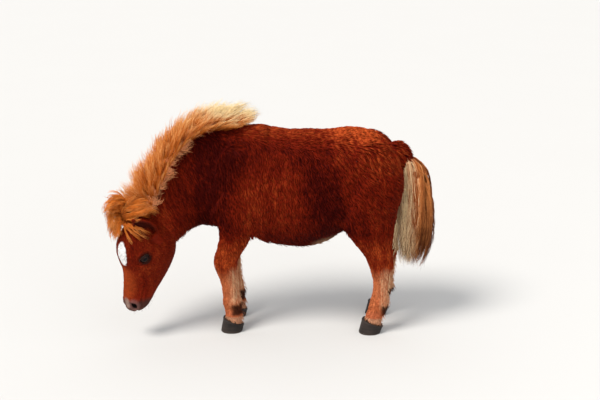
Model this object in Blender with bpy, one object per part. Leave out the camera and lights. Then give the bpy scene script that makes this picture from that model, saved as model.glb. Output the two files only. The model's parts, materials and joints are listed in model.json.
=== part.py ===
"""A life-size Shetland pony foal, standing with its head lowered and turned a little to its left.

The foal faces -X with its left side towards -Y, and stands on the plane z = 0. Sizes are in metres.
The outer surface is that of the coat. Each named part of the body is its own closed solid.
"""

import math
import random

import bmesh
import bpy
from mathutils import Matrix, Vector
from mathutils.bvhtree import BVHTree

# Driving dimensions of the animal
POLL = Vector((-0.513, -0.110, 0.410))
HEAD_YAW = math.radians(35)
EYE_RADIUS = 0.0185
FORE_STANCE = 0.068
HIND_STANCE = 0.082
FAR_FORE_BACK = 0.006
FAR_HIND_BACK = 0.030
TOE_HEIGHT = 0.050
HEEL_HEIGHT = 0.024
EAR_LENGTH = 0.124
EAR_WIDTH = 0.066
EAR_WALL = 0.0045
EAR_CLEARANCE = 0.020
EAR_LEAST = 0.0015
LID_THICKNESS = 0.0042
OPENING_LENGTH = 0.0350
OPENING_HEIGHT = 0.0250

# Where the middle of the footprint of the whole foal lies in the frame that the sizes are written in
FOOTPRINT_MIDDLE = Vector((-0.0852, -0.0312, 0.0))

SEED = 9

# Meshing sizes
GAP = 0.0003
VOXEL = 0.0065
BODY_TRIANGLES = 5000
HEAD_FINENESS = 0.009

# Colour and roughness of each kind of surface
FINISHES = {
    "coat": ((0.230, 0.045, 0.012), 0.75),
    "legs": ((0.330, 0.130, 0.060), 0.75),
    "ear": ((0.200, 0.050, 0.018), 0.75),
    "eye": ((0.012, 0.007, 0.005), 0.10),
    "hoof": ((0.045, 0.035, 0.030), 0.45),
    "tail": ((0.560, 0.300, 0.130), 0.65),
}


def clear_scene():
    for obj in list(bpy.data.objects):
        bpy.data.objects.remove(obj, do_unlink=True)


def link(name, mesh):
    obj = bpy.data.objects.new(name, mesh)
    bpy.context.scene.collection.objects.link(obj)
    return obj


def mesh_object(name, vertices, faces):
    mesh = bpy.data.meshes.new(name)
    mesh.from_pydata([tuple(v) for v in vertices], [], faces)
    mesh.update()
    return link(name, mesh)


def settle(obj):
    """Replaces an object by its evaluated mesh, with no modifiers left."""
    bpy.context.view_layer.update()
    graph = bpy.context.evaluated_depsgraph_get()
    mesh = bpy.data.meshes.new_from_object(obj.evaluated_get(graph))
    obj.modifiers.clear()
    obj.data = mesh
    return obj


def combined(obj, others, operation, solver="EXACT"):
    """obj joined with, cut by, or kept inside the other closed objects, which are then removed.

    The head and the hair use the MANIFOLD solver, because EXACT leaves open edges on them.
    """
    group = bpy.data.collections.new("operands")
    for other in others:
        group.objects.link(other)
    boolean = obj.modifiers.new("combine", "BOOLEAN")
    boolean.operation = operation
    boolean.operand_type = "COLLECTION"
    boolean.collection = group
    boolean.solver = solver
    settle(obj)
    for other in others:
        bpy.data.objects.remove(other, do_unlink=True)
    bpy.data.collections.remove(group)
    return obj


def copy_of(obj, name):
    return link(name, obj.data.copy())


def grown(obj, name, distance):
    """A copy of a closed object, with its surface moved out along its normals."""
    other = copy_of(obj, name)
    normals = [v.normal.copy() for v in other.data.vertices]
    for vertex, normal in zip(other.data.vertices, normals):
        vertex.co += normal * distance
    return other


def clear_of(*others):
    """Cutters that leave the gap between a piece and its neighbours."""
    return [grown(other, "clear", GAP) for other in others]


def keep_largest(obj):
    """Keeps the closed surface with the most area, and drops loose scraps and sealed hollows."""
    shape = bmesh.new()
    shape.from_mesh(obj.data)
    left = set(shape.faces)
    shells = []
    while left:
        shell = {left.pop()}
        unvisited = list(shell)
        while unvisited:
            face = unvisited.pop()
            for edge in face.edges:
                if len(edge.link_faces) != 2:
                    continue
                for near in edge.link_faces:
                    if near in left:
                        left.remove(near)
                        shell.add(near)
                        unvisited.append(near)
        shells.append(shell)
    areas = [sum(face.calc_area() for face in shell) for shell in shells]
    largest = shells[areas.index(max(areas))]
    bmesh.ops.delete(shape, geom=[f for f in shape.faces if f not in largest], context="FACES")
    shape.to_mesh(obj.data)
    shape.free()
    return obj


# Curves and lofts


def through(points, at):
    """The value at a share from 0 to 1 of a smooth curve through rows of numbers."""
    last = len(points) - 1
    place = min(max(at, 0.0), 1.0) * last
    i = min(int(place), last - 1)
    t = place - i
    a = points[max(i - 1, 0)]
    b = points[i]
    c = points[i + 1]
    d = points[min(i + 2, last)]
    return [
        q + 0.5 * ((r - p) * t + (2 * p - 5 * q + 4 * r - s) * t**2 + (3 * q - p - 3 * r + s) * t**3)
        for p, q, r, s in zip(a, b, c, d)
    ]


def loft(name, rows, rings=40, sides=28, square=2.0, narrow_top=0.0):
    """A closed solid through rows of (one edge, opposite edge, half width).

    The two edges are points of the solid's profile, and the half width is measured across it.
    square rounds the section: 2 is an ellipse, more is boxier. narrow_top thins the first edge's side.
    """
    flat = [(*first, *second, width) for first, second, width in rows]
    path = [through(flat, i / (rings - 1)) for i in range(rings)]
    centres = [(Vector(r[0:3]) + Vector(r[3:6])) / 2 for r in path]
    vertices = []
    for i, row in enumerate(path):
        up = (Vector(row[0:3]) - Vector(row[3:6])) / 2
        along = centres[min(i + 1, rings - 1)] - centres[max(i - 1, 0)]
        side = up.cross(along).normalized() * row[6]
        for k in range(sides):
            angle = 2 * math.pi * k / sides
            c = math.cos(angle)
            s = math.sin(angle)
            across = math.copysign(abs(c) ** (2 / square), c) * (1 - narrow_top * s)
            upward = math.copysign(abs(s) ** (2 / square), s)
            vertices.append(centres[i] + side * across + up * upward)
    faces = []
    for i in range(rings - 1):
        for k in range(sides):
            a = i * sides + k
            b = i * sides + (k + 1) % sides
            faces.append((a, b, b + sides, a + sides))
    faces.append(tuple(reversed(range(sides))))
    faces.append(tuple((rings - 1) * sides + k for k in range(sides)))
    obj = mesh_object(name, vertices, faces)
    face_outwards(obj)
    return obj


def face_outwards(obj):
    shape = bmesh.new()
    shape.from_mesh(obj.data)
    bmesh.ops.recalc_face_normals(shape, faces=shape.faces)
    shape.to_mesh(obj.data)
    shape.free()


def ellipsoid(name, centre, radii, turn=None, rings=14, sides=20):
    shape = bmesh.new()
    bmesh.ops.create_uvsphere(shape, u_segments=sides, v_segments=rings, radius=1.0)
    place = Matrix.Translation(centre) @ (turn.to_4x4() if turn else Matrix())
    bmesh.ops.transform(shape, matrix=place @ Matrix.Diagonal((*radii, 1.0)), verts=shape.verts)
    mesh = bpy.data.meshes.new(name)
    shape.to_mesh(mesh)
    shape.free()
    return link(name, mesh)


def wedge(name, corners):
    """A closed box through eight corners: four of one end, then the four facing them."""
    faces = [(0, 1, 2, 3), (7, 6, 5, 4), (0, 4, 5, 1), (1, 5, 6, 2), (2, 6, 7, 3), (3, 7, 4, 0)]
    obj = mesh_object(name, corners, faces)
    face_outwards(obj)
    return obj


# The head's own axes: down its length, forwards out of the face, and to its left

FACE = Vector((-math.cos(HEAD_YAW), -math.sin(HEAD_YAW), 0.0))
LEFT = Vector((math.sin(HEAD_YAW), -math.cos(HEAD_YAW), 0.0))
DOWN = Vector((0.0, 0.0, -1.0))
HEAD_TURN = Matrix((LEFT, -FACE, -DOWN)).transposed()


def on_head(down, forward, left=0.0):
    """A point of the head, from its distances below the poll, in front of it and to the left of it."""
    return POLL + DOWN * down + FACE * forward + LEFT * left


def lift(x, z, y=0.0):
    return Vector((x, y, z))


def trunk():
    # x, top, bottom, half width
    sections = [
        (-0.312, 0.545, 0.425, 0.030),
        (-0.300, 0.590, 0.385, 0.062),
        (-0.272, 0.650, 0.358, 0.090),
        (-0.225, 0.694, 0.350, 0.108),
        (-0.170, 0.703, 0.328, 0.120),
        (-0.110, 0.699, 0.300, 0.132),
        (-0.045, 0.690, 0.288, 0.143),
        (0.020, 0.689, 0.286, 0.149),
        (0.085, 0.688, 0.302, 0.146),
        (0.150, 0.694, 0.343, 0.138),
        (0.210, 0.688, 0.375, 0.130),
        (0.265, 0.664, 0.390, 0.115),
        (0.310, 0.630, 0.410, 0.090),
        (0.338, 0.595, 0.440, 0.055),
        (0.345, 0.570, 0.480, 0.020),
    ]
    rows = [(lift(x, top), lift(x, bottom), width) for x, top, bottom, width in sections]
    return loft("trunk", rows, rings=60, sides=36, square=2.15, narrow_top=0.10)


# The neck's crest and under line, from the withers to the poll, with the half width between them
NECK = [
    (lift(-0.150, 0.690), lift(-0.190, 0.380), 0.090),
    (lift(-0.215, 0.700), lift(-0.268, 0.355), 0.096),
    (lift(-0.290, 0.700, -0.003), lift(-0.302, 0.353), 0.090),
    (lift(-0.355, 0.675, -0.012), lift(-0.325, 0.357, -0.008), 0.079),
    (lift(-0.408, 0.630, -0.026), lift(-0.345, 0.358, -0.020), 0.069),
    (lift(-0.445, 0.575, -0.044), lift(-0.360, 0.355, -0.036), 0.061),
    (lift(-0.473, 0.518, -0.064), lift(-0.376, 0.350, -0.054), 0.056),
    (lift(-0.494, 0.465, -0.086), lift(-0.392, 0.340, -0.074), 0.053),
    (lift(-0.508, 0.425, -0.104), lift(-0.410, 0.325, -0.094), 0.050),
]


def neck():
    return loft("neck_form", NECK, rings=44, sides=30, square=2.1, narrow_top=0.22)


def skull():
    # Distance below the poll, front line, back line, half width
    sections = [
        (-0.012, 0.030, -0.030, 0.020),
        (0.004, 0.052, -0.062, 0.042),
        (0.030, 0.073, -0.088, 0.054),
        (0.062, 0.091, -0.103, 0.062),
        (0.098, 0.095, -0.112, 0.064),
        (0.130, 0.088, -0.108, 0.061),
        (0.160, 0.078, -0.096, 0.054),
        (0.190, 0.076, -0.079, 0.046),
        (0.220, 0.078, -0.058, 0.041),
        (0.250, 0.081, -0.035, 0.039),
        (0.275, 0.078, -0.018, 0.038),
        (0.295, 0.066, -0.002, 0.031),
        (0.308, 0.046, 0.016, 0.018),
    ]
    rows = [(on_head(d, front), on_head(d, back), width) for d, front, back, width in sections]
    return loft("skull", rows, rings=56, sides=32, square=2.25, narrow_top=-0.04)


def head_forms():
    """Bulges that give the head its cheeks, eye sockets, muzzle, lips and chin."""
    # name, place as distances below the poll, in front of it and aside, and the three radii
    paired = [
        ("cheek", (0.088, -0.050, 0.032), (0.031, 0.050, 0.050)),
        ("brow", (0.104, 0.028, 0.045), (0.020, 0.030, 0.028)),
        ("nostril_wing", (0.274, 0.051, 0.023), (0.018, 0.023, 0.025)),
        ("face_ridge", (0.150, 0.010, 0.038), (0.014, 0.024, 0.045)),
        ("jaw_angle", (0.045, -0.060, 0.033), (0.031, 0.058, 0.058)),
    ]
    single = [
        ("upper_lip", (0.288, 0.047, 0.0), (0.031, 0.029, 0.023)),
        ("chin", (0.280, 0.006, 0.0), (0.022, 0.018, 0.024)),
        ("forehead", (0.072, 0.054, 0.0), (0.046, 0.036, 0.055)),
    ]
    forms = []
    for side in (-1, 1):
        for name, (down, forward, aside), radii in paired:
            forms.append(ellipsoid(name, on_head(down, forward, aside * side), radii, HEAD_TURN))
    for name, place, radii in single:
        forms.append(ellipsoid(name, on_head(*place), radii, HEAD_TURN))
    return forms


def fore_leg(side):
    """One fore leg down to its coronet. side is -1 on the left and 1 on the right."""
    back = step_back("fore", side)
    # z, front, rear, distance out from the middle, half width
    sections = [
        (0.600, -0.250, -0.150, 0.070, 0.030),
        (0.520, -0.290, -0.130, 0.072, 0.045),
        (0.440, -0.290, -0.128, 0.076, 0.048),
        (0.385, -0.277, -0.138, 0.078, 0.045),
        (0.338, -0.272, -0.157, 0.077, 0.041),
        (0.300, -0.279, -0.178, 0.075, 0.037),
        (0.268, -0.289, -0.199, 0.073, 0.035),
        (0.238, -0.291, -0.206, 0.071, 0.035),
        (0.208, -0.280, -0.209, 0.070, 0.031),
        (0.170, -0.268, -0.209, 0.069, 0.027),
        (0.130, -0.263, -0.203, 0.068, 0.028),
        (0.103, -0.264, -0.196, 0.068, 0.031),
        (0.078, -0.257, -0.197, 0.068, 0.029),
        (0.052, -0.256, -0.193, 0.068, 0.030),
        (0.034, -0.258, -0.194, 0.068, 0.030),
        (0.008, -0.255, -0.194, 0.068, 0.028),
    ]
    rows = [
        (lift(front + back, z, out * side), lift(rear + back, z, out * side), width)
        for z, front, rear, out, width in sections
    ]
    return loft("fore_leg_form", rows, rings=54, sides=24)


def hind_leg(side):
    """One hind leg down to its coronet. side is -1 on the left and 1 on the right."""
    back = step_back("hind", side)
    # z, front, rear, distance out from the middle, half width, share of the far leg's step
    sections = [
        (0.640, 0.170, 0.275, 0.050, 0.040, 0.0),
        (0.580, 0.120, 0.330, 0.066, 0.060, 0.0),
        (0.510, 0.105, 0.339, 0.078, 0.064, 0.1),
        (0.445, 0.108, 0.325, 0.086, 0.060, 0.2),
        (0.395, 0.122, 0.316, 0.089, 0.054, 0.4),
        (0.350, 0.152, 0.312, 0.089, 0.047, 0.6),
        (0.310, 0.184, 0.310, 0.088, 0.040, 0.8),
        (0.275, 0.210, 0.312, 0.087, 0.035, 0.9),
        (0.245, 0.224, 0.315, 0.086, 0.032, 1.0),
        (0.215, 0.234, 0.307, 0.085, 0.030, 1.0),
        (0.180, 0.242, 0.302, 0.084, 0.026, 1.0),
        (0.140, 0.240, 0.298, 0.083, 0.026, 1.0),
        (0.106, 0.232, 0.300, 0.082, 0.031, 1.0),
        (0.080, 0.226, 0.288, 0.082, 0.029, 1.0),
        (0.053, 0.216, 0.282, 0.082, 0.031, 1.0),
        (0.034, 0.212, 0.278, 0.082, 0.031, 1.0),
        (0.008, 0.214, 0.278, 0.082, 0.028, 1.0),
    ]
    rows = [
        (lift(front + back * step, z, out * side), lift(rear + back * step, z, out * side), width)
        for z, front, rear, out, width, step in sections
    ]
    return loft("hind_leg_form", rows, rings=60, sides=26)


def body_forms():
    """Muscles and folds that join the legs to the trunk."""
    # name, x, height, distance out from the middle, and the three radii
    muscles = [
        ("shoulder", -0.205, 0.525, 0.070, (0.085, 0.050, 0.130)),
        ("point_of_shoulder", -0.265, 0.430, 0.055, (0.045, 0.042, 0.060)),
        ("haunch", 0.225, 0.560, 0.072, (0.105, 0.062, 0.110)),
        ("stifle", 0.155, 0.425, 0.085, (0.052, 0.042, 0.065)),
        ("elbow", -0.165, 0.375, 0.083, (0.032, 0.028, 0.040)),
    ]
    forms = []
    for side in (-1, 1):
        for name, x, height, out, radii in muscles:
            forms.append(ellipsoid(name, lift(x, height, out * side), radii))
    return forms


def whole_body():
    """The coated body in one closed surface, before it is parted."""
    forms = [neck(), skull(), *head_forms(), *body_forms()]
    for side in (-1, 1):
        forms += [fore_leg(side), hind_leg(side)]
    body = trunk()
    bpy.context.view_layer.update()
    for obj in [body, *forms]:
        obj.select_set(True)
    bpy.context.view_layer.objects.active = body
    bpy.ops.object.join()
    remesh = body.modifiers.new("one_surface", "REMESH")
    remesh.mode = "VOXEL"
    remesh.voxel_size = VOXEL
    smooth = body.modifiers.new("soften", "SMOOTH")
    smooth.factor = 0.5
    smooth.iterations = 7
    settle(body)
    body.name = "body"
    return body


# Where the body is parted


def slab(name, origin, normal, size, thickness):
    """A box that starts at a face through origin, and reaches along normal."""
    normal = normal.normalized()
    across = normal.cross(Vector((0.0, 1.0, 0.0))).normalized()
    aside = normal.cross(across)
    ends = []
    for depth in (0.0, thickness):
        for a, b in ((-1, -1), (1, -1), (1, 1), (-1, 1)):
            ends.append(origin + normal * depth + across * (a * size) + aside * (b * size))
    return wedge(name, ends)


def head_region(grow):
    normal = Vector((-0.62, -0.30, -0.72)).normalized()
    origin = Vector((-0.446, -0.080, 0.406)) - normal * grow
    return slab("head_region", origin, normal, 0.16, 0.45)


def neck_region(grow):
    """The space in front of a plane that slants from the withers down to the chest."""
    front = -0.85
    lower = 0.315
    upper = 0.95
    withers_x = -0.160
    withers_z = 0.74
    slope = 0.40
    lower_back = withers_x - slope * (withers_z - lower) + grow
    upper_back = withers_x - slope * (withers_z - upper) + grow
    ends = []
    for y in (-0.35, 0.30):
        ends += [
            Vector((lower_back, y, lower)),
            Vector((upper_back, y, upper)),
            Vector((front, y, upper)),
            Vector((front, y, lower)),
        ]
    return wedge("neck_region", ends)


def leg_region(name, side, front, rear, inner_top, outer_top, grow):
    """A block round one leg, whose top slopes up from the inside to the outside of the leg."""
    inside = 0.002 - grow
    outside = 0.26
    ends = []
    for x in (front - grow, rear + grow):
        ends += [
            Vector((x, inside * side, -0.05)),
            Vector((x, outside * side, -0.05)),
            Vector((x, outside * side, outer_top + grow)),
            Vector((x, inside * side, inner_top + grow)),
        ]
    return wedge(name, ends)


def fore_region(side, grow):
    return leg_region("fore_region", side, -0.400, -0.118, 0.300, 0.520, grow)


def hind_region(side, grow):
    return leg_region("hind_region", side, 0.102, 0.420, 0.335, 0.580, grow)


def finer_head(body):
    """Marks how freely the body's triangles may be merged, which is least on the head."""
    group = body.vertex_groups.new(name="merge_freely")
    for vertex in body.data.vertices:
        on_the_head = vertex.co.x < -0.42 and vertex.co.z < 0.42
        group.add([vertex.index], 0.9 if on_the_head else 1.0, "REPLACE")
    return group.name


def simplified(body, triangles):
    body.data.calc_loop_triangles()
    decimate = body.modifiers.new("simplify", "DECIMATE")
    decimate.ratio = triangles / len(body.data.loop_triangles)
    decimate.use_collapse_triangulate = True
    decimate.vertex_group = finer_head(body)
    decimate.vertex_group_factor = HEAD_FINENESS
    return settle(body)


def parted(body, name, region, cutters):
    """The stretch of the body inside a region and outside the cutters."""
    piece = copy_of(body, name)
    if region:
        combined(piece, [region], "INTERSECT")
    if cutters:
        combined(piece, cutters, "DIFFERENCE")
    return keep_largest(piece)


def body_parts(body):
    parts = {
        "head": parted(body, "head", head_region(0.0), []),
        "neck": parted(body, "neck", neck_region(0.0), [head_region(GAP)]),
    }
    for side, word in ((-1, "left"), (1, "right")):
        name = f"fore_leg_{word}"
        cutters = [neck_region(GAP), below_coronet("fore", side)]
        parts[name] = parted(body, name, fore_region(side, 0.0), cutters)
        name = f"hind_leg_{word}"
        parts[name] = parted(body, name, hind_region(side, 0.0), [below_coronet("hind", side)])
    cutters = [head_region(GAP), neck_region(GAP)]
    for side in (-1, 1):
        cutters += [fore_region(side, GAP), hind_region(side, GAP)]
    parts["torso"] = parted(body, "torso", None, cutters)
    return parts


# Hooves

# x of the toe and of the heel on the ground, x of the front and of the rear at the coronet,
# distance out from the middle, half width on the ground and at the coronet
HOOVES = {
    "fore": (-0.268, -0.196, -0.259, -0.191, FORE_STANCE, 0.034, 0.0305),
    "hind": (0.199, 0.272, 0.211, 0.280, HIND_STANCE, 0.034, 0.0315),
}


def step_back(pair, side):
    far = FAR_FORE_BACK if pair == "fore" else FAR_HIND_BACK
    return far if side > 0 else 0.0


def coronet(pair, side):
    """The front and the rear point of the slanted line between hoof and leg."""
    back = step_back(pair, side)
    front, rear, out = HOOVES[pair][2:5]
    return lift(front + back, TOE_HEIGHT, out * side), lift(rear + back, HEEL_HEIGHT, out * side)


def below_coronet(pair, side):
    front, rear = coronet(pair, side)
    down = (rear - front).cross(Vector((0.0, 1.0, 0.0))).normalized()
    if down.z > 0:
        down = -down
    return slab("below_coronet", (front + rear) / 2 - down * GAP, down, 0.08, 0.12)


def hoof(pair, side):
    back = step_back(pair, side)
    toe, heel, _, _, out, ground_width, top_width = HOOVES[pair]
    front, rear = coronet(pair, side)
    toe_point = lift(toe + back, 0.0, out * side)
    heel_point = lift(heel + back, 0.0, out * side)
    rows = [
        (toe_point, heel_point, ground_width),
        (front.lerp(toe_point, 0.5), rear.lerp(heel_point, 0.5), (ground_width + top_width) / 2),
        (front, rear, top_width),
    ]
    return loft("hoof", rows, rings=3, sides=16, square=2.2)


# Eyes

EYE_PLACE = (0.112, 0.026, 0.0485)
EYE_TILT = (0.10, 0.32, 0.94)


def eye_axes(side):
    """The eye's centre, the way it looks, and the two ways across its opening."""
    centre = on_head(EYE_PLACE[0], EYE_PLACE[1], EYE_PLACE[2] * side_sign(side))
    looks = DOWN * EYE_TILT[0] + FACE * EYE_TILT[1] + LEFT * (EYE_TILT[2] * side_sign(side))
    looks.normalize()
    along = -(FACE * 0.80 + DOWN * 0.52)
    along = (along - looks * along.dot(looks)).normalized()
    return centre, looks, along, looks.cross(along).normalized()


def side_sign(side):
    """The head's left is +1 along its own LEFT, where the legs count the left side as -1."""
    return -side


def eyeball(side):
    centre = eye_axes(side)[0]
    return ellipsoid("eyeball", centre, (EYE_RADIUS,) * 3, rings=9, sides=14)


def ring_tube(name, centres, outward, radius, sides=5):
    """A closed tube through a ring of points."""
    count = len(centres)
    vertices = []
    for i, centre in enumerate(centres):
        along = (centres[(i + 1) % count] - centres[i - 1]).normalized()
        over = outward.cross(along).normalized()
        up = along.cross(over)
        for k in range(sides):
            angle = 2 * math.pi * k / sides
            vertices.append(centre + (over * math.cos(angle) + up * math.sin(angle)) * radius[i])
    faces = []
    for i in range(count):
        j = (i + 1) % count
        for k in range(sides):
            m = (k + 1) % sides
            faces.append((i * sides + k, i * sides + m, j * sides + m, j * sides + k))
    obj = mesh_object(name, vertices, faces)
    face_outwards(obj)
    return obj


def lids(side):
    """The rims of both lids, which lie on the eyeball round its almond opening."""
    centre, looks, along, across = eye_axes(side)
    count = 16
    points = []
    radius = []
    for i in range(count):
        angle = 2 * math.pi * i / count
        c = math.cos(angle)
        s = math.sin(angle)
        point = along * (c * OPENING_LENGTH / 2) + across * (s * (1 - 0.25 * c * c) * OPENING_HEIGHT / 2)
        reach = EYE_RADIUS + 0.0012
        depth = math.sqrt(max(reach * reach - point.length_squared, 0.0))
        points.append(centre + point + looks * depth)
        radius.append(LID_THICKNESS * (0.75 + 0.25 * abs(s)))
    return ring_tube("lids", points, looks, radius)


# Mouth and nostrils

# Distance below the poll, in front of it and to its side, from one corner of the mouth round the lips
MOUTH = [
    (0.220, 0.026, 0.038),
    (0.245, 0.031, 0.038),
    (0.269, 0.037, 0.034),
    (0.290, 0.042, 0.026),
    (0.304, 0.044, 0.012),
]
MOUTH_DEPTH = 0.0020
MOUTH_POINTS = 15
NOSTRIL = (0.277, 0.061, 0.028)
NOSTRIL_RADII = (0.0085, 0.0120, 0.0105)


def surface_of(obj):
    shape = bmesh.new()
    shape.from_mesh(obj.data)
    tree = BVHTree.FromBMesh(shape)
    shape.free()
    return tree


def mouth_groove(head):
    surface = surface_of(head)
    half = [Vector(p) for p in MOUTH]
    route = [on_head(p.x, p.y, p.z) for p in half]
    route += [on_head(p.x, p.y, -p.z) for p in reversed(half)]
    points = []
    for i in range(MOUTH_POINTS):
        point = Vector(through(route, i / (MOUTH_POINTS - 1)))
        points.append(surface.find_nearest(point)[0])
    groove = bpy.data.curves.new("groove", "CURVE")
    groove.dimensions = "3D"
    groove.bevel_depth = MOUTH_DEPTH
    groove.bevel_resolution = 0
    groove.use_fill_caps = True
    line = groove.splines.new("POLY")
    line.points.add(len(points) - 1)
    for spot, point in zip(line.points, points):
        spot.co = (*point, 1.0)
    obj = link("groove", groove)
    mesh = bpy.data.meshes.new_from_object(obj)
    bpy.data.objects.remove(obj, do_unlink=True)
    closed = bmesh.new()
    closed.from_mesh(mesh)
    bmesh.ops.remove_doubles(closed, verts=closed.verts, dist=0.00001)
    closed.to_mesh(mesh)
    closed.free()
    return link("groove", mesh)


def nostril(side):
    down, forward, left = NOSTRIL
    sign = side_sign(side)
    outwards = Matrix.Rotation(math.radians(-35 * sign), 3, "Z")
    upwards = Matrix.Rotation(math.radians(20), 3, "X")
    place = on_head(down, forward, left * sign)
    return ellipsoid("nostril", place, NOSTRIL_RADII, HEAD_TURN @ outwards @ upwards, rings=6, sides=10)


def eye_hollow(side):
    """The dip in the head that the lids and the eyeball lie in."""
    centre, looks, along, across = eye_axes(side)
    turn = Matrix((along, across, looks)).transposed()
    radii = (OPENING_LENGTH / 2, OPENING_HEIGHT / 2, 0.020)
    return ellipsoid("eye_hollow", centre + looks * (EYE_RADIUS * 0.75), radii, turn, rings=8, sides=16)


def finished_head(head):
    combined(head, [eye_hollow(-1), eye_hollow(1)], "DIFFERENCE", "MANIFOLD")
    combined(head, [lids(-1), lids(1)], "UNION", "MANIFOLD")
    sockets = []
    for side in (-1, 1):
        centre = eye_axes(side)[0]
        sockets.append(ellipsoid("socket", centre, (EYE_RADIUS + GAP,) * 3, rings=9, sides=14))
    combined(head, sockets, "DIFFERENCE", "MANIFOLD")
    combined(head, [mouth_groove(head)], "DIFFERENCE", "MANIFOLD")
    combined(head, [nostril(-1), nostril(1)], "DIFFERENCE", "MANIFOLD")
    return keep_largest(head)


# Ears

EAR_ROOT = (0.058, -0.018, 0.066)
EAR_AIM = {-1: (-0.088, 0.088, 0.000), 1: (-0.090, 0.086, 0.004)}
EAR_OPENS = (0.30, 0.45, 0.84)


def ear(side):
    """A cup that stands on the head, open to the front and outside, with its floor above its root."""
    sign = side_sign(side)
    root = on_head(EAR_ROOT[0], EAR_ROOT[1], EAR_ROOT[2] * sign)
    aim = EAR_AIM[side]
    axis = (DOWN * aim[0] + FACE * aim[1] + LEFT * (aim[2] * sign)).normalized()
    opens = DOWN * EAR_OPENS[0] + FACE * EAR_OPENS[1] + LEFT * (EAR_OPENS[2] * sign)
    opens = (opens - axis * opens.dot(axis)).normalized()
    # share of the length, half width, half depth, lean of the middle line towards the opening
    outer = [
        (-0.10, 0.42, 0.40, -0.10),
        (0.05, 0.52, 0.47, -0.10),
        (0.22, 0.78, 0.56, -0.14),
        (0.42, 1.00, 0.56, -0.18),
        (0.62, 0.92, 0.46, -0.14),
        (0.80, 0.62, 0.32, -0.03),
        (0.93, 0.30, 0.18, 0.08),
        (1.00, 0.08, 0.07, 0.14),
    ]
    half = EAR_WIDTH / 2
    shell_rows = []
    hollow_rows = []
    for share, width, depth, lean in outer:
        middle = root + axis * (share * EAR_LENGTH) + opens * (lean * half)
        reach = opens * (depth * half)
        shell_rows.append((middle + reach, middle - reach, width * half))
        if 0.15 < share < 0.95:
            back = middle - reach + opens * EAR_WALL
            front = middle + reach + opens * EAR_CLEARANCE
            hollow_rows.append((front, back, max(width * half - EAR_WALL * 0.8, EAR_LEAST)))
    shell = loft("shell", shell_rows, rings=11, sides=14)
    hollow = loft("hollow", hollow_rows, rings=8, sides=12)
    return combined(shell, [hollow], "DIFFERENCE", "MANIFOLD")


# Locks of the mane, forelock and tail

# How wide a lock is at even steps from its root, as a share of its full width
MANE_TAPER = (0.70, 1.00, 0.84, 0.50)
TAIL_TAPER = (0.40, 0.85, 1.00, 0.90, 0.55)


def lock(route, width, thickness, facing, taper):
    """A closed, flat lock that tapers to a point along a route, with a low ridge towards facing."""
    bands = len(taper)
    vertices = []
    for i, share_of_width in enumerate(taper):
        share = i / bands
        here = Vector(through(route, share))
        ahead = Vector(through(route, share + 0.05))
        behind = Vector(through(route, share - 0.05))
        along = (ahead - behind).normalized()
        across = along.cross(facing).normalized() * (width / 2 * share_of_width)
        ridge = across.cross(along).normalized() * (thickness * share_of_width)
        vertices += [here + across, here + ridge, here - across]
    vertices.append(Vector(route[-1]))
    tip = len(vertices) - 1
    faces = [(0, 1, 2)]
    for first in range(0, tip - 3, 3):
        for k in range(3):
            a = first + k
            b = first + (k + 1) % 3
            faces.append((a, b, b + 3, a + 3))
    faces += [(tip - 3 + k, tip - 3 + (k + 1) % 3, tip) for k in range(3)]
    obj = mesh_object("lock", vertices, faces)
    face_outwards(obj)
    return obj


# Along the crest from the withers to the poll: how far the hair reaches, and its lean towards the poll
MANE_REACH = [
    (0.060, -1.30),
    (0.084, -0.80),
    (0.090, -0.40),
    (0.090, -0.10),
    (0.092, 0.00),
    (0.100, 0.10),
    (0.112, 0.20),
]
MANE_STATIONS = 17
MANE_FAN = (-40, 0, 40)
MANE_LOCK = (0.034, 0.007)
FALL_LOCK = (0.037, 0.007)
FALL_LENGTH = 0.120
FALL_STARTS = 0.32
MANE_ROOT_DEPTH = 0.024
CORE_SHARE = 0.40
CORE_DEPTH = 0.035
CORE_HALF_WIDTH = 0.018


def neck_section(share):
    """One section of the neck: its middle, and the ways up to the crest, to the left and along."""
    rows = [(*top, *bottom, width) for top, bottom, width in NECK[1:]]
    here = through(rows, share)
    ahead = through(rows, min(share + 0.02, 1.0))
    behind = through(rows, max(share - 0.02, 0.0))
    along = (Vector(ahead[0:3]) - Vector(behind[0:3])).normalized()
    top = Vector(here[0:3])
    middle = (top + Vector(here[3:6])) / 2
    up = top - middle
    left = up.cross(along).normalized() * here[6]
    return middle, up, left, along


def on_neck(share, degrees, height):
    """A point above the neck's side, at an angle down from the crest that is positive to the left."""
    middle, up, left, _ = neck_section(share)
    angle = math.radians(degrees)
    out = (up.normalized() * math.cos(angle) + left.normalized() * math.sin(angle)).normalized()
    return middle + up * math.cos(angle) + left * math.sin(angle) + out * height


def mane_core():
    """The dense foot of the mane, which reaches less than half way to the tips of its locks."""
    rows = []
    for i in range(7):
        share = i / 6
        middle, up, _, along = neck_section(share)
        reach, lean = through(MANE_REACH, share)
        top = middle + up
        tip = top + (up.normalized() + along * lean).normalized() * (reach * CORE_SHARE)
        rows.append((tip, top - up.normalized() * CORE_DEPTH, CORE_HALF_WIDTH))
    return loft("mane_core", rows, rings=9, sides=6)


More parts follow.
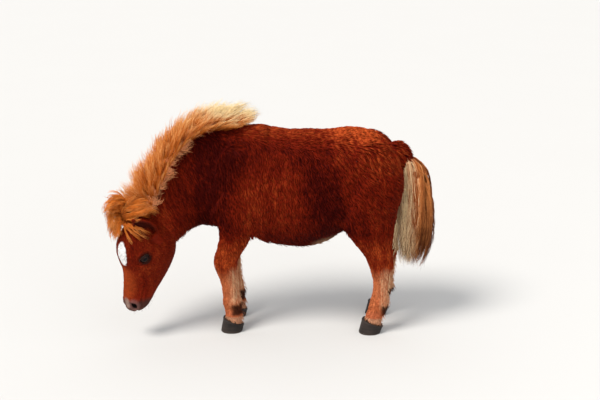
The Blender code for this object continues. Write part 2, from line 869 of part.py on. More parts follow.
def standing_lock(share, fan, rng):
    """A lock that stands out of the crest at an angle to its left, and sweeps back towards its tip."""
    middle, up, left, along = neck_section(share)
    out = up.normalized()
    aside = left.normalized()
    reach, lean = through(MANE_REACH, share)
    angle = math.radians(fan + rng.uniform(-6, 6))
    rise = out * math.cos(angle) + aside * math.sin(angle)
    length = reach * rng.uniform(0.92, 1.14)
    lean += rng.uniform(-0.12, 0.12)
    start = (rise + along * (lean * 0.4 + 0.25)).normalized()
    sweep = (rise + along * (lean * 1.8 - 0.40) - Vector((0, 0, 0.25))).normalized()
    root = middle + up - out * MANE_ROOT_DEPTH + aside * (math.sin(angle) * 0.016)
    first = root + start * (MANE_ROOT_DEPTH + length * 0.36)
    second = first + (start + sweep).normalized() * (length * 0.34)
    route = [root, first, second, second + sweep * (length * 0.36)]
    return lock(route, *MANE_LOCK, rise.cross(along), MANE_TAPER)


def falling_lock(share, sign, rng):
    """A lock that lies down one side of the neck. sign is 1 on its left and -1 on its right."""
    _, up, left, along = neck_section(share)
    turn = math.degrees(FALL_LENGTH / up.length)
    back = -along
    sway = rng.uniform(-0.008, 0.012)
    root = on_neck(share, sign * 10, -0.016)
    crown = on_neck(share, sign * 26, 0.030) + back * 0.002
    side = on_neck(share, sign * (28 + turn * 0.34), 0.026) + back * (0.014 + sway)
    tip = on_neck(share, sign * (28 + turn * rng.uniform(0.60, 0.84)), 0.007) + back * (0.038 + 2 * sway)
    return lock([root, crown, side, tip], *FALL_LOCK, left * sign, MANE_TAPER)


def mane_locks(rng):
    """Rows of locks that fan out of the crest, and others that fall down both sides of the neck."""
    locks = []
    for i in range(MANE_STATIONS):
        for place, fan in enumerate(MANE_FAN):
            share = (i + 0.25 + 0.5 * (place % 2)) / MANE_STATIONS
            locks.append(standing_lock(share, fan, rng))
        if i >= MANE_STATIONS * FALL_STARTS:
            for sign in (1, -1):
                share = (i + rng.uniform(0.4, 0.6)) / MANE_STATIONS
                locks.append(falling_lock(share, sign, rng))
    return locks


# Each lock of the forelock: where it is rooted and where it ends, in the head's own distances
FORELOCK = [
    ((0.010, 0.042, -0.024), (0.056, 0.096, -0.052)),
    ((0.008, 0.046, -0.010), (0.066, 0.106, -0.028)),
    ((0.010, 0.048, 0.002), (0.074, 0.104, -0.004)),
    ((0.010, 0.046, 0.012), (0.080, 0.092, 0.024)),
    ((0.016, 0.042, 0.020), (0.078, 0.078, 0.044)),
]
FORELOCK_LOCK = (0.028, 0.008)


def forelock_locks(rng):
    locks = []
    for (down, forward, left), (end_down, end_forward, end_left) in FORELOCK:
        root = on_head(down, forward - 0.010, left)
        crown = on_head(down - 0.030, forward + 0.046, left * 1.3)
        clear = max(end_forward, 0.090) + 0.006
        middle = on_head((down + end_down) * 0.55, clear, (left + end_left) * 0.55)
        tip = on_head(end_down, end_forward + rng.uniform(-0.003, 0.003), end_left)
        locks.append(lock([root, crown, middle, tip], *FORELOCK_LOCK, FACE, MANE_TAPER))
    return locks


# Down the dock from its root: its middle line and half width
DOCK = [
    (0.318, 0.0, 0.606, 0.024),
    (0.350, 0.0, 0.592, 0.022),
    (0.372, 0.0, 0.560, 0.019),
    (0.382, 0.0, 0.515, 0.016),
    (0.386, 0.0, 0.465, 0.013),
    (0.387, 0.0, 0.425, 0.008),
]
TAIL_STATIONS = 6
TAIL_AROUND = (-144, -72, 0, 72, 144)
TAIL_LOCK = (0.042, 0.009)
TAIL_END = 0.190
TAIL_STEP_SHORTER = 0.070


def dock():
    rows = []
    for i, (x, y, z, width) in enumerate(DOCK):
        ahead = Vector(DOCK[min(i + 1, len(DOCK) - 1)][0:3])
        behind = Vector(DOCK[max(i - 1, 0)][0:3])
        rear = (ahead - behind).cross(Vector((0, -1, 0))).normalized()
        middle = Vector((x, y, z))
        rows.append((middle + rear * width, middle - rear * width, width))
    return loft("dock", rows, rings=8, sides=8)


def tail_locks(rng):
    """Locks rooted all round the dock, which spread to the rear and the sides and hang nearly straight.

    Those from the foot of the dock reach furthest down.
    """
    locks = []
    for i in range(TAIL_STATIONS):
        share = 0.12 + 0.84 * i / (TAIL_STATIONS - 1)
        x, y, z, width = through(DOCK, share)
        for around in TAIL_AROUND:
            angle = math.radians(around + (36 if i % 2 else 0) + rng.uniform(-8, 8))
            spread = Vector((math.cos(angle), math.sin(angle), 0.0))
            middle = Vector((x, y, z))
            bulge = 0.030 + 0.020 * (1 - share) + 0.016 * math.cos(angle) + rng.uniform(-0.003, 0.004)
            shorter = TAIL_STEP_SHORTER * (1 - share) * rng.uniform(0.4, 1.1) + rng.uniform(0, 0.02)
            drop = z - TAIL_END - shorter
            root = middle + spread * (width * 0.1)
            shoulder = middle + spread * bulge - Vector((0, 0, 0.034))
            hip = middle + spread * (bulge * 1.15) - Vector((-0.004, 0, drop * 0.50))
            tip = middle + spread * (bulge * 0.70) - Vector((rng.uniform(-0.010, 0.010), 0, drop))
            locks.append(lock([root, shoulder, hip, tip], *TAIL_LOCK, spread, TAIL_TAPER))
    return locks


def finish(obj, kind):
    colour, roughness = FINISHES[kind]
    material = bpy.data.materials.new(f"{obj.name}_{kind}")
    material.use_nodes = True
    shader = material.node_tree.nodes["Principled BSDF"]
    shader.inputs["Base Color"].default_value = (*colour, 1.0)
    shader.inputs["Roughness"].default_value = roughness
    shader.inputs["Metallic"].default_value = 0.0
    obj.data.materials.clear()
    obj.data.materials.append(material)
    obj.data.shade_smooth()
    obj.data.set_sharp_from_angle(angle=math.radians(45))


def main():
    clear_scene()
    rng = random.Random(SEED)
    body = simplified(whole_body(), BODY_TRIANGLES)
    parts = body_parts(body)
    bpy.data.objects.remove(body, do_unlink=True)

    head = finished_head(parts["head"])
    sides = ((-1, "left"), (1, "right"))
    ears = []
    for side, word in sides:
        one_ear = combined(ear(side), clear_of(head), "DIFFERENCE", "MANIFOLD")
        one_ear.name = f"ear_{word}"
        parts[one_ear.name] = keep_largest(one_ear)
        ears.append(one_ear)
    combined(head, forelock_locks(rng), "UNION", "MANIFOLD")
    combined(head, clear_of(parts["neck"], *ears), "DIFFERENCE", "MANIFOLD")
    keep_largest(head)
    maned = combined(parts["neck"], [mane_core(), *mane_locks(rng)], "UNION", "MANIFOLD")
    combined(maned, clear_of(head, parts["torso"], *ears), "DIFFERENCE", "MANIFOLD")
    keep_largest(maned)

    for side, word in sides:
        one_eye = eyeball(side)
        one_eye.name = f"eye_{word}"
        parts[one_eye.name] = one_eye
        for pair in ("fore", "hind"):
            one_hoof = hoof(pair, side)
            one_hoof.name = f"hoof_{pair}_{word}"
            parts[one_hoof.name] = one_hoof
    tail = combined(dock(), tail_locks(rng), "UNION", "MANIFOLD")
    tail.name = "tail"
    near = clear_of(parts["torso"], parts["hind_leg_left"], parts["hind_leg_right"])
    combined(tail, near, "DIFFERENCE", "MANIFOLD")
    parts["tail"] = keep_largest(tail)

    for name, obj in parts.items():
        kind = name.split("_")[0]
        if "leg" in name:
            kind = "legs"
        finish(obj, kind if kind in FINISHES else "coat")
        obj.data.transform(Matrix.Translation(-FOOTPRINT_MIDDLE))


main()
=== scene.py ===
"""The looks of a life-size Shetland pony foal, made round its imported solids.

Each group of pieces has its own operator, and main calls them in order. Sizes are in metres.
The foal faces -X with its left side towards -Y.
"""

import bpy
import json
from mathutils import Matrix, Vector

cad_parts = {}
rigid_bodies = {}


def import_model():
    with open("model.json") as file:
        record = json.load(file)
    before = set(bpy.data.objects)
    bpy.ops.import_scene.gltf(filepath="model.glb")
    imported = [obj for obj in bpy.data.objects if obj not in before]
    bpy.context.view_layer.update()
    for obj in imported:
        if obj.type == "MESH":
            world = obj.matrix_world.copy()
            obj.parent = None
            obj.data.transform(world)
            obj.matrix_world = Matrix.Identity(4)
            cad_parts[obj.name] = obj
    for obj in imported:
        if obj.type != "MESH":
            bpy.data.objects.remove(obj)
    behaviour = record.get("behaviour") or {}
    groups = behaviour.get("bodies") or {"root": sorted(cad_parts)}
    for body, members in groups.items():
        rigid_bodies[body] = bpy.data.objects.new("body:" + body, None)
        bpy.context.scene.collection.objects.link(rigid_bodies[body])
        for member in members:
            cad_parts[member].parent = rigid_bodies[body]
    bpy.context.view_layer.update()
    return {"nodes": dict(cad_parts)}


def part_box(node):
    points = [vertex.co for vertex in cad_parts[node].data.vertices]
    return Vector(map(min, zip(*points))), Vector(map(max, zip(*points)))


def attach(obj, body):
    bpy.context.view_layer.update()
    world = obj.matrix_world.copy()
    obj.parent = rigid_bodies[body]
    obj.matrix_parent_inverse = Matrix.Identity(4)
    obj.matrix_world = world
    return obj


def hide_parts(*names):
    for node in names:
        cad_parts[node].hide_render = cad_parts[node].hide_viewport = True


bl_info = {
    "name": "Shetland Pony Foal",
    "version": (1, 0, 0),
    "blender": (4, 5, 0),
    "location": "View3D > Sidebar > Foal",
    "description": "Makes the skin, coat, long hair, eyes and hooves of a standing foal",
    "category": "Add Mesh",
}

import json
import math

import bmesh
import bpy
import numpy as np
from bpy.props import FloatProperty, FloatVectorProperty, IntProperty, PointerProperty
from mathutils import Matrix, Vector
from mathutils.bvhtree import BVHTree

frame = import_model()
BODY = "root"
BAKE_MAP = "OFBake"
SEED = 7
MERGE_DISTANCE = 0.00002


def linear(red, green, blue):
    """A colour given as it looks on a screen, from 0 to 255, in Blender's linear numbers."""
    shares = (red / 255, green / 255, blue / 255)
    return tuple(c / 12.92 if c <= 0.04045 else ((c + 0.055) / 1.055) ** 2.4 for c in shares)


# The head's own axes and the frame's place, from the two eyes of the solids

SIDES = {"left": 1, "right": -1}
EYE_BELOW_POLL = 0.112
EYE_BEFORE_POLL = 0.026
POLL_FROM_BODY = Vector((-0.513, -0.110, 0.410))


def middle_of(node):
    low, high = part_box(node)
    return (low + high) / 2


EYES = {side: middle_of(f"eye_{side}") for side in SIDES}
EYE_RADIUS = (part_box("eye_left")[1].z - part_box("eye_left")[0].z) / 2
DOWN = Vector((0.0, 0.0, -1.0))
LEFT = (EYES["left"] - EYES["right"]).normalized()
FACE = DOWN.cross(LEFT)
POLL = (EYES["left"] + EYES["right"]) / 2 - DOWN * EYE_BELOW_POLL - FACE * EYE_BEFORE_POLL
ORIGIN = POLL - POLL_FROM_BODY
HEAD_TURN = Matrix((LEFT, -FACE, -DOWN)).transposed()
HEAD_AXES = (DOWN, FACE, LEFT)
BODY_AXES = (Vector((1, 0, 0)), Vector((0, 1, 0)), Vector((0, 0, 1)))


def on_head(down, forward, left=0.0):
    """A point of the head, from its distances below the poll, in front of it and to its left."""
    return POLL + DOWN * down + FACE * forward + LEFT * left


def on_body(x, y, z):
    """A point from its place along the body, across it and above the ground."""
    return ORIGIN + Vector((x, y, z))


# Blender helpers


def link(name, data):
    obj = bpy.data.objects.new(name, data)
    bpy.context.scene.collection.objects.link(obj)
    return obj


def drop(*objects):
    for obj in objects:
        bpy.data.objects.remove(obj, do_unlink=True)


def settled(obj):
    """Replaces an object by its evaluated mesh, with no modifiers left."""
    bpy.context.view_layer.update()
    graph = bpy.context.evaluated_depsgraph_get()
    mesh = bpy.data.meshes.new_from_object(obj.evaluated_get(graph))
    obj.modifiers.clear()
    obj.data = mesh
    return obj


def linked_shape(name, shape):
    """The object of a finished bmesh, which is then freed."""
    mesh = bpy.data.meshes.new(name)
    shape.to_mesh(mesh)
    shape.free()
    return link(name, mesh)


def joined(name, objects):
    """One object of all the meshes, which are then removed."""
    shape = bmesh.new()
    for obj in objects:
        shape.from_mesh(obj.data)
    drop(*objects)
    return linked_shape(name, shape)


def merged_copy(node, name):
    """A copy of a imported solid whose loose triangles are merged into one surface."""
    shape = bmesh.new()
    shape.from_mesh(frame["nodes"][node].data)
    bmesh.ops.remove_doubles(shape, verts=shape.verts, dist=MERGE_DISTANCE)
    return linked_shape(name, shape)


def face_outwards(obj):
    shape = bmesh.new()
    shape.from_mesh(obj.data)
    bmesh.ops.recalc_face_normals(shape, faces=shape.faces)
    shape.to_mesh(obj.data)
    shape.free()
    return obj


def points_of(mesh):
    values = np.empty(len(mesh.vertices) * 3, np.float32)
    mesh.vertices.foreach_get("co", values)
    return values.reshape(-1, 3).astype(float)


def normals_of(mesh):
    values = np.empty(len(mesh.vertices) * 3, np.float32)
    mesh.vertex_normals.foreach_get("vector", values)
    return values.reshape(-1, 3).astype(float)


def set_points(mesh, points):
    mesh.vertices.foreach_set("co", points.astype(np.float32).ravel())
    mesh.update()


def set_attribute(mesh, name, values, kind="FLOAT"):
    layer = mesh.attributes.get(name) or mesh.attributes.new(name, kind, "POINT")
    field = "vector" if kind == "FLOAT_VECTOR" else "value"
    layer.data.foreach_set(field, np.ascontiguousarray(values, np.float32).ravel())


def unit(vectors):
    return vectors / np.maximum(np.linalg.norm(vectors, axis=-1, keepdims=True), 1e-9)


def softened(mesh, rounds, share):
    """Evens out small steps in a surface, and keeps its size. share is how much, for each point."""
    edges = np.empty(len(mesh.edges) * 2, np.int32)
    mesh.edges.foreach_get("vertices", edges)
    one, other = edges.reshape(-1, 2).T
    ends = np.concatenate((one, other))
    others = np.concatenate((other, one))
    points = points_of(mesh)
    count = np.maximum(np.bincount(ends, minlength=len(points)), 1)
    for _ in range(rounds):
        for factor in (0.50, -0.52):
            for k in range(3):
                around = np.bincount(ends, points[others, k], minlength=len(points)) / count
                points[:, k] += factor * share * (around - points[:, k])
    return points


def ease(values, low, high):
    """0 at low, 1 at high, and smooth between them."""
    share = np.clip((values - low) / (high - low), 0.0, 1.0)
    return share * share * (3 - 2 * share)


def through(points, at):
    """The value at a share from 0 to 1 of a smooth curve through rows of numbers."""
    last = len(points) - 1
    place = min(max(at, 0.0), 1.0) * last
    i = min(int(place), last - 1)
    t = place - i
    a = np.asarray(points[max(i - 1, 0)], float)
    b = np.asarray(points[i], float)
    c = np.asarray(points[i + 1], float)
    d = np.asarray(points[min(i + 2, last)], float)
    return b + 0.5 * ((c - a) * t + (2 * a - 5 * b + 4 * c - d) * t**2 + (3 * b - a - 3 * c + d) * t**3)


def tube(name, vertices, rings, sides):
    """A closed form from its rings of vertices, one ring after another."""
    faces = [tuple(reversed(range(sides)))]
    for i in range(rings - 1):
        for k in range(sides):
            a = i * sides + k
            b = i * sides + (k + 1) % sides
            faces.append((a, b, b + sides, a + sides))
    faces.append(tuple((rings - 1) * sides + k for k in range(sides)))
    mesh = bpy.data.meshes.new(name)
    mesh.from_pydata([tuple(v) for v in vertices], [], faces)
    return face_outwards(link(name, mesh))


def loft(name, rows, rings, sides, square=2.0, narrow_top=0.0):
    """A closed form through rows of (one edge, opposite edge, half width) of its profile."""
    flat = [(*first, *second, width) for first, second, width in rows]
    path = [through(flat, i / (rings - 1)) for i in range(rings)]
    centres = [Vector((r[0:3] + r[3:6]) / 2) for r in path]
    vertices = []
    for i, row in enumerate(path):
        up = Vector((row[0:3] - row[3:6]) / 2)
        along = centres[min(i + 1, rings - 1)] - centres[max(i - 1, 0)]
        side = up.cross(along).normalized() * row[6]
        for k in range(sides):
            angle = 2 * math.pi * k / sides
            c = math.cos(angle)
            s = math.sin(angle)
            across = math.copysign(abs(c) ** (2 / square), c) * (1 - narrow_top * s)
            upward = math.copysign(abs(s) ** (2 / square), s)
            vertices.append(centres[i] + side * across + up * upward)
    return tube(name, vertices, rings, sides)


def ellipsoid(name, centre, radii, turn=None, rings=24, sides=36):
    shape = bmesh.new()
    bmesh.ops.create_uvsphere(shape, u_segments=sides, v_segments=rings, radius=1.0)
    place = Matrix.Translation(centre) @ (turn.to_4x4() if turn else Matrix())
    bmesh.ops.transform(shape, matrix=place @ Matrix.Diagonal((*radii, 1.0)), verts=shape.verts)
    return linked_shape(name, shape)


# Shader maths

NOISE_ROUGHNESS = 0.55


class Nodes:
    """A node tree, and the one way in which nodes are added to it."""

    def node(self, kind, settings=None, inputs=None, output=0):
        node = self.tree.nodes.new(kind)
        for key, value in (settings or {}).items():
            setattr(node, key, value)
        for key, value in (inputs or {}).items():
            self.feed(node.inputs[key], value)
        return node.outputs[output]

    def feed(self, socket, value):
        if isinstance(value, Value):
            value = value.socket
        if isinstance(value, bpy.types.NodeSocket):
            self.tree.links.new(value, socket)
        elif isinstance(value, (int, float, str)) or len(value) == len(socket.default_value):
            socket.default_value = value
        else:
            socket.default_value = (*value, 1.0)


class Value:
    """A number that changes over a surface, for use in plain expressions."""

    def __init__(self, shading, socket):
        self.shading = shading
        self.socket = socket

    def maths(self, operation, *others):
        return self.shading.maths(operation, self, *others)

    def __add__(self, other):
        return self.maths("ADD", other)

    def __radd__(self, other):
        return self.shading.maths("ADD", other, self)

    def __sub__(self, other):
        return self.maths("SUBTRACT", other)

    def __rsub__(self, other):
        return self.shading.maths("SUBTRACT", other, self)

    def __mul__(self, other):
        return self.maths("MULTIPLY", other)

    def __rmul__(self, other):
        return self.shading.maths("MULTIPLY", other, self)

    def __truediv__(self, other):
        return self.maths("DIVIDE", other)

    def __pow__(self, other):
        return self.maths("POWER", other)

    def largest(self, other):
        return self.maths("MAXIMUM", other)

    def between(self, low, high):
        """0 at low, 1 at high, and smooth between them."""
        settings = {"interpolation_type": "SMOOTHSTEP"}
        inputs = {"Value": self, "From Min": low, "From Max": high}
        return Value(self.shading, self.shading.node("ShaderNodeMapRange", settings, inputs))


class Shading(Nodes):
    """A material and its nodes."""

    def __init__(self, name):
        self.material = bpy.data.materials.new(name)
        self.material.use_nodes = True
        self.tree = self.material.node_tree
        self.shader = self.tree.nodes["Principled BSDF"]
        self.place = self.node("ShaderNodeTexCoord", output="Object")

    def maths(self, operation, *terms):
        return Value(self, self.node("ShaderNodeMath", {"operation": operation}, dict(enumerate(terms))))

    def reading(self, name):
        """A number stored on the piece's own points."""
        return Value(self, self.node("ShaderNodeAttribute", {"attribute_name": name}, output="Fac"))

    def distance_along(self, origin, direction):
        """How far the surface lies from an origin, measured along a direction."""
        step = self.node("ShaderNodeVectorMath", {"operation": "SUBTRACT"}, {0: self.place, 1: origin})
        settings = {"operation": "DOT_PRODUCT"}
        return Value(self, self.node("ShaderNodeVectorMath", settings, {0: step, 1: direction}, "Value"))

    def spot(self, centre, radii, soft, axes=BODY_AXES):
        """1 inside an ellipsoid, 0 outside it, with a soft edge."""
        shares = [self.distance_along(centre, axis) / radius for axis, radius in zip(axes, radii)]
        reach = shares[0] * shares[0] + shares[1] * shares[1] + shares[2] * shares[2]
        return reach.between(1 + soft, 1 - soft)

    def noise(self, scale, detail=3.0, stretch=(1.0, 1.0, 1.0)):
        place = self.node("ShaderNodeMapping", inputs={"Vector": self.place, "Scale": stretch})
        inputs = {"Vector": place, "Scale": scale, "Detail": detail, "Roughness": NOISE_ROUGHNESS}
        return Value(self, self.node("ShaderNodeTexNoise", inputs=inputs, output="Fac"))

    def mix(self, factor, first, second):
        """first where factor is 0 and second where it is 1."""
        inputs = {"Factor": factor, 6: first, 7: second}
        return self.node("ShaderNodeMix", {"data_type": "RGBA"}, inputs, output=2)

    def bump(self, height, distance, strength):
        inputs = {"Height": height, "Distance": distance, "Strength": strength}
        return self.node("ShaderNodeBump", inputs=inputs, output="Normal")

    def surface(self, **inputs):
        """Sets the shader's own sockets, named with _ for a space."""
        for key, value in inputs.items():
            self.feed(self.shader.inputs[key.replace("_", " ")], value)
        return self.material


# Sizes and colours that a user would change


def tone(name, description, default):
    return FloatVectorProperty(name=name, description=description, default=default, subtype="COLOR")


def measure(name, description, default):
    return FloatProperty(name=name, description=description, default=default, unit="LENGTH")


class FoalCoat(bpy.types.PropertyGroup):
    voxel: measure("Skin detail", "Size of the skin's finest faces", 0.0030)
    depth: measure("Coat depth", "How deep the skin lies on the body", 0.0065)
    length: measure("Tuft length", "Length of a tuft on the body", 0.030)
    width: measure("Tuft width", "Width of a tuft on the body", 0.0031)
    density: FloatProperty(name="Tufts", description="Tufts on a square metre of the body", default=52000.0)
    deep: tone("Deep chestnut", "Darker colour of the coat", linear(60, 5, 2))
    warm: tone("Chestnut", "Middle colour of the coat", linear(112, 25, 6))
    bright: tone("Bright chestnut", "Lighter colour of the coat", linear(196, 84, 36))
    leg: tone("Leg", "Colour of the lower legs", linear(202, 116, 72))
    pale: tone("Pale hair", "Pale hair on legs and flank", linear(210, 172, 134))
    star: tone("Star", "White mark on the forehead", linear(250, 249, 248))
    muzzle: tone("Muzzle", "Dark skin of lips and nostrils", linear(66, 42, 36))


class FoalHair(bpy.types.PropertyGroup):
    strand: measure("Strand width", "Width of one strand of long hair", 0.0013)
    root: tone("Root", "Colour at the roots", linear(128, 46, 10))
    middle: tone("Middle", "Colour along the hair", linear(212, 114, 36))
    tip: tone("Tip", "Colour at the tips", linear(250, 194, 122))
    cream: tone("Cream", "Palest hair", linear(252, 228, 176))
    brown: tone("Brown", "Darkest hair of the tail", linear(84, 36, 12))
    mane_locks: IntProperty(name="Mane locks", description="Locks of the standing mane", default=560)
    tail_locks: IntProperty(name="Tail locks", description="Locks of the tail", default=190)


class FoalEye(bpy.types.PropertyGroup):
    iris: tone("Iris", "Colour of the iris", linear(36, 18, 12))
    lid: tone("Lid", "Colour of the lids' bare skin", linear(30, 11, 7))


class FoalHoof(bpy.types.PropertyGroup):
    horn: tone("Horn", "Colour of the hooves", linear(24, 20, 18))
    ring: measure("Ring", "Height of a growth ring", 0.0005)


class FoalStage(bpy.types.PropertyGroup):
    floor: tone("Floor", "Colour of the floor", (0.62, 0.61, 0.59))
    key: FloatProperty(name="Key light", description="Strength of the key light", default=3.1)
    fill: FloatProperty(name="Fill light", description="Power of the fill light", default=24.0, unit="POWER")
    sky: FloatProperty(name="Room light", description="Strength of the light all round", default=0.82)


GROUPS = {
    "foal_coat": FoalCoat,
    "foal_hair": FoalHair,
    "foal_eye": FoalEye,
    "foal_hoof": FoalHoof,
    "foal_stage": FoalStage,
}


def chosen(group):
    return getattr(bpy.context.scene, group)


def finished(obj, material, slot, *replaced):
    """Gives a piece its material and its place in the frame."""
    obj.data.materials.clear()
    obj.data.materials.append(material)
    obj.data.shade_smooth()
    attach(obj, BODY)
    if replaced:
        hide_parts(*replaced)
    return obj


# Skin

SKIN = "skin"
SKIN_TRIANGLES = 150000
SOFTENING_ROUNDS = 45
LEG_DEPTH = 0.0035
HEAD_DEPTH = 0.0018
FLESH = ("torso", "neck", "head", "fore_leg_left", "fore_leg_right", "hind_leg_left", "hind_leg_right")
PLAIN_FLESH = ("torso", "fore_leg_left", "fore_leg_right", "hind_leg_left", "hind_leg_right")

# The neck's crest and under line, from inside the body to the poll, with the half width between them
NECK = [
    ((-0.150, 0.000, 0.690), (-0.190, 0.000, 0.380), 0.090),
    ((-0.215, 0.000, 0.700), (-0.268, 0.000, 0.355), 0.096),
    ((-0.290, -0.003, 0.700), (-0.302, 0.000, 0.353), 0.090),
    ((-0.355, -0.012, 0.675), (-0.325, -0.008, 0.357), 0.079),
    ((-0.408, -0.026, 0.630), (-0.345, -0.020, 0.358), 0.069),
    ((-0.445, -0.044, 0.575), (-0.360, -0.036, 0.355), 0.061),
    ((-0.473, -0.064, 0.518), (-0.376, -0.054, 0.350), 0.056),
    ((-0.494, -0.086, 0.465), (-0.392, -0.074, 0.340), 0.053),
    ((-0.508, -0.104, 0.425), (-0.410, -0.094, 0.325), 0.050),
]

# The trunk's front, which the neck grows out of: place along the body, top, bottom, half width
CHEST = [
    (-0.312, 0.545, 0.425, 0.030),
    (-0.300, 0.590, 0.385, 0.062),
    (-0.272, 0.650, 0.358, 0.090),
    (-0.225, 0.694, 0.350, 0.108),
    (-0.170, 0.703, 0.328, 0.120),
    (-0.110, 0.699, 0.300, 0.132),
    (-0.080, 0.660, 0.360, 0.110),
]

# The shoulders: place along the body, height, distance out from the middle, and the three radii
SHOULDERS = [
    (-0.205, 0.525, 0.070, (0.085, 0.050, 0.130)),
    (-0.265, 0.430, 0.055, (0.045, 0.042, 0.060)),
    (-0.232, 0.440, 0.072, (0.058, 0.046, 0.070)),
]

# A fill between croup and dock: its place and its three radii
RUMP = (0.308, 0, 0.577)
RUMP_RADII = (0.066, 0.052, 0.071)

# Distance below the poll, front line, back line, half width
SKULL = [
    (-0.012, 0.030, -0.030, 0.020),
    (0.004, 0.052, -0.062, 0.042),
    (0.030, 0.073, -0.088, 0.054),
    (0.062, 0.091, -0.103, 0.062),
    (0.098, 0.095, -0.112, 0.064),
    (0.130, 0.088, -0.108, 0.061),
    (0.160, 0.078, -0.096, 0.054),
    (0.190, 0.076, -0.079, 0.046),
    (0.220, 0.078, -0.058, 0.041),
    (0.250, 0.081, -0.035, 0.039),
    (0.275, 0.078, -0.018, 0.038),
    (0.295, 0.066, -0.002, 0.031),
    (0.308, 0.046, 0.016, 0.018),
]

# Name, distances below the poll, in front of it and aside, and the three radii; two forms where aside isn't 0
FACE_FORMS = [
    ("cheek", (0.088, -0.050, 0.032), (0.031, 0.050, 0.050)),
    ("brow", (0.104, 0.028, 0.045), (0.020, 0.030, 0.028)),
    ("nostril_wing", (0.274, 0.051, 0.023), (0.018, 0.023, 0.025)),
    ("face_ridge", (0.150, 0.010, 0.038), (0.014, 0.024, 0.045)),
    ("jaw_angle", (0.045, -0.060, 0.033), (0.031, 0.058, 0.058)),
    ("upper_lip", (0.288, 0.047, 0.0), (0.031, 0.029, 0.023)),
    ("chin", (0.280, 0.006, 0.0), (0.022, 0.018, 0.024)),
    ("forehead", (0.072, 0.054, 0.0), (0.046, 0.036, 0.055)),
    ("ear_foot", (0.048, -0.014, 0.052), (0.024, 0.026, 0.021)),
]

# Down the dock from its root: its middle line and half width
DOCK = [
    (0.300, 0.0, 0.600, 0.026),
    (0.330, 0.0, 0.602, 0.024),
    (0.358, 0.0, 0.584, 0.020),
    (0.374, 0.0, 0.552, 0.017),
    (0.382, 0.0, 0.510, 0.014),
    (0.386, 0.0, 0.465, 0.011),
    (0.387, 0.0, 0.430, 0.006),
]

# A place between neck and head, and the way from it into the head
HEAD_PLANE = Vector((-0.446, -0.080, 0.406))
HEAD_WARDS = Vector((-0.62, -0.30, -0.72)).normalized()

# Distances below the poll, in front of it and to its left
EAR_ROOT = (0.058, -0.018, 0.066)
STAR = (0.098, 0.085, 0.015)
STAR_RADII = (0.041, 0.0185)

# The same distances, from one corner of the mouth to the middle of the lips, and for a nostril
MOUTH = [
    (0.220, 0.026, 0.038),
    (0.245, 0.031, 0.038),
    (0.269, 0.037, 0.034),
    (0.290, 0.042, 0.026),
    (0.304, 0.044, 0.012),
]
NOSTRIL = (0.279, 0.058, 0.028)
NOSTRIL_RADII = (0.0088, 0.0130)
NOSTRIL_DEPTH = 0.012
MOUTH_STEPS = 60
GROOVE_DEPTH = 0.0038
GROOVE_WIDTH = 0.0030

# The opening between the lids, and how far lids and skin lie off the eyeball
OPENING_LENGTH = 0.0350
OPENING_HEIGHT = 0.0235
LID_RISE = 0.0022
SOCKET_SINK = 0.0030
EYE_REACH = 0.045


def neck_rows():
    return [(on_body(*top), on_body(*bottom), width) for top, bottom, width in NECK]


def dock_rows():
    rows = []
    for i, (x, y, z, width) in enumerate(DOCK):
        ahead = Vector(DOCK[min(i + 1, len(DOCK) - 1)][0:3])
        behind = Vector(DOCK[max(i - 1, 0)][0:3])
        rear = (ahead - behind).cross(Vector((0, -1, 0))).normalized()
        middle = on_body(x, y, z)
        rows.append((middle + rear * width, middle - rear * width, width))
    return rows


def neck_base():
    """The chest and shoulders, which reach into the neck past the trunk's own solid."""
    rows = [(on_body(x, 0, top), on_body(x, 0, bottom), width) for x, top, bottom, width in CHEST]
    forms = [loft("chest", rows, rings=40, sides=48, square=2.15, narrow_top=0.10)]
    for x, height, out, radii in SHOULDERS:
        forms += [ellipsoid("shoulder", on_body(x, out * side, height), radii) for side in (1, -1)]
    forms.append(ellipsoid("rump", on_body(*RUMP), RUMP_RADII))
    return forms


def face_forms():
    forms = []
    for name, (down, forward, aside), radii in FACE_FORMS:
        for side in (1, -1) if aside else (0,):
            forms.append(ellipsoid(name, on_head(down, forward, aside * side), radii, HEAD_TURN))
    return forms


def body_places(points):
    """Places along, across and above the body's own frame."""
    return points - np.array(ORIGIN)


def head_places(points):
    """Distances below the poll, in front of it and to its left."""
    return (points - np.array(POLL)) @ np.array(HEAD_AXES).T


def head_share(points):
    """0 on the neck, 1 on the head, and smooth between them."""
    place = body_places(points)
    behind = (place - np.array(HEAD_PLANE)) @ np.array(HEAD_WARDS)
    return ease(behind, -0.015, 0.030) * ease(place[:, 0], -0.325, -0.345)


def skin_depth(points, depth):
    """How deep the skin lies below the coat's surface: least on the head and the lower legs."""
    head = head_share(points)
    leg = ease(body_places(points)[:, 2], 0.38, 0.20)
    body = depth * (1 - leg) + LEG_DEPTH * leg
    return body * (1 - head) + HEAD_DEPTH * head


def eye_axes(side):
    """The way an eye looks, and the two ways across its opening."""
    looks = DOWN * 0.10 + FACE * 0.32 + LEFT * (0.94 * SIDES[side])
    looks.normalize()
    along = -(FACE * 0.80 + DOWN * 0.52)
    along = (along - looks * along.dot(looks)).normalized()
    return looks, along, looks.cross(along).normalized()


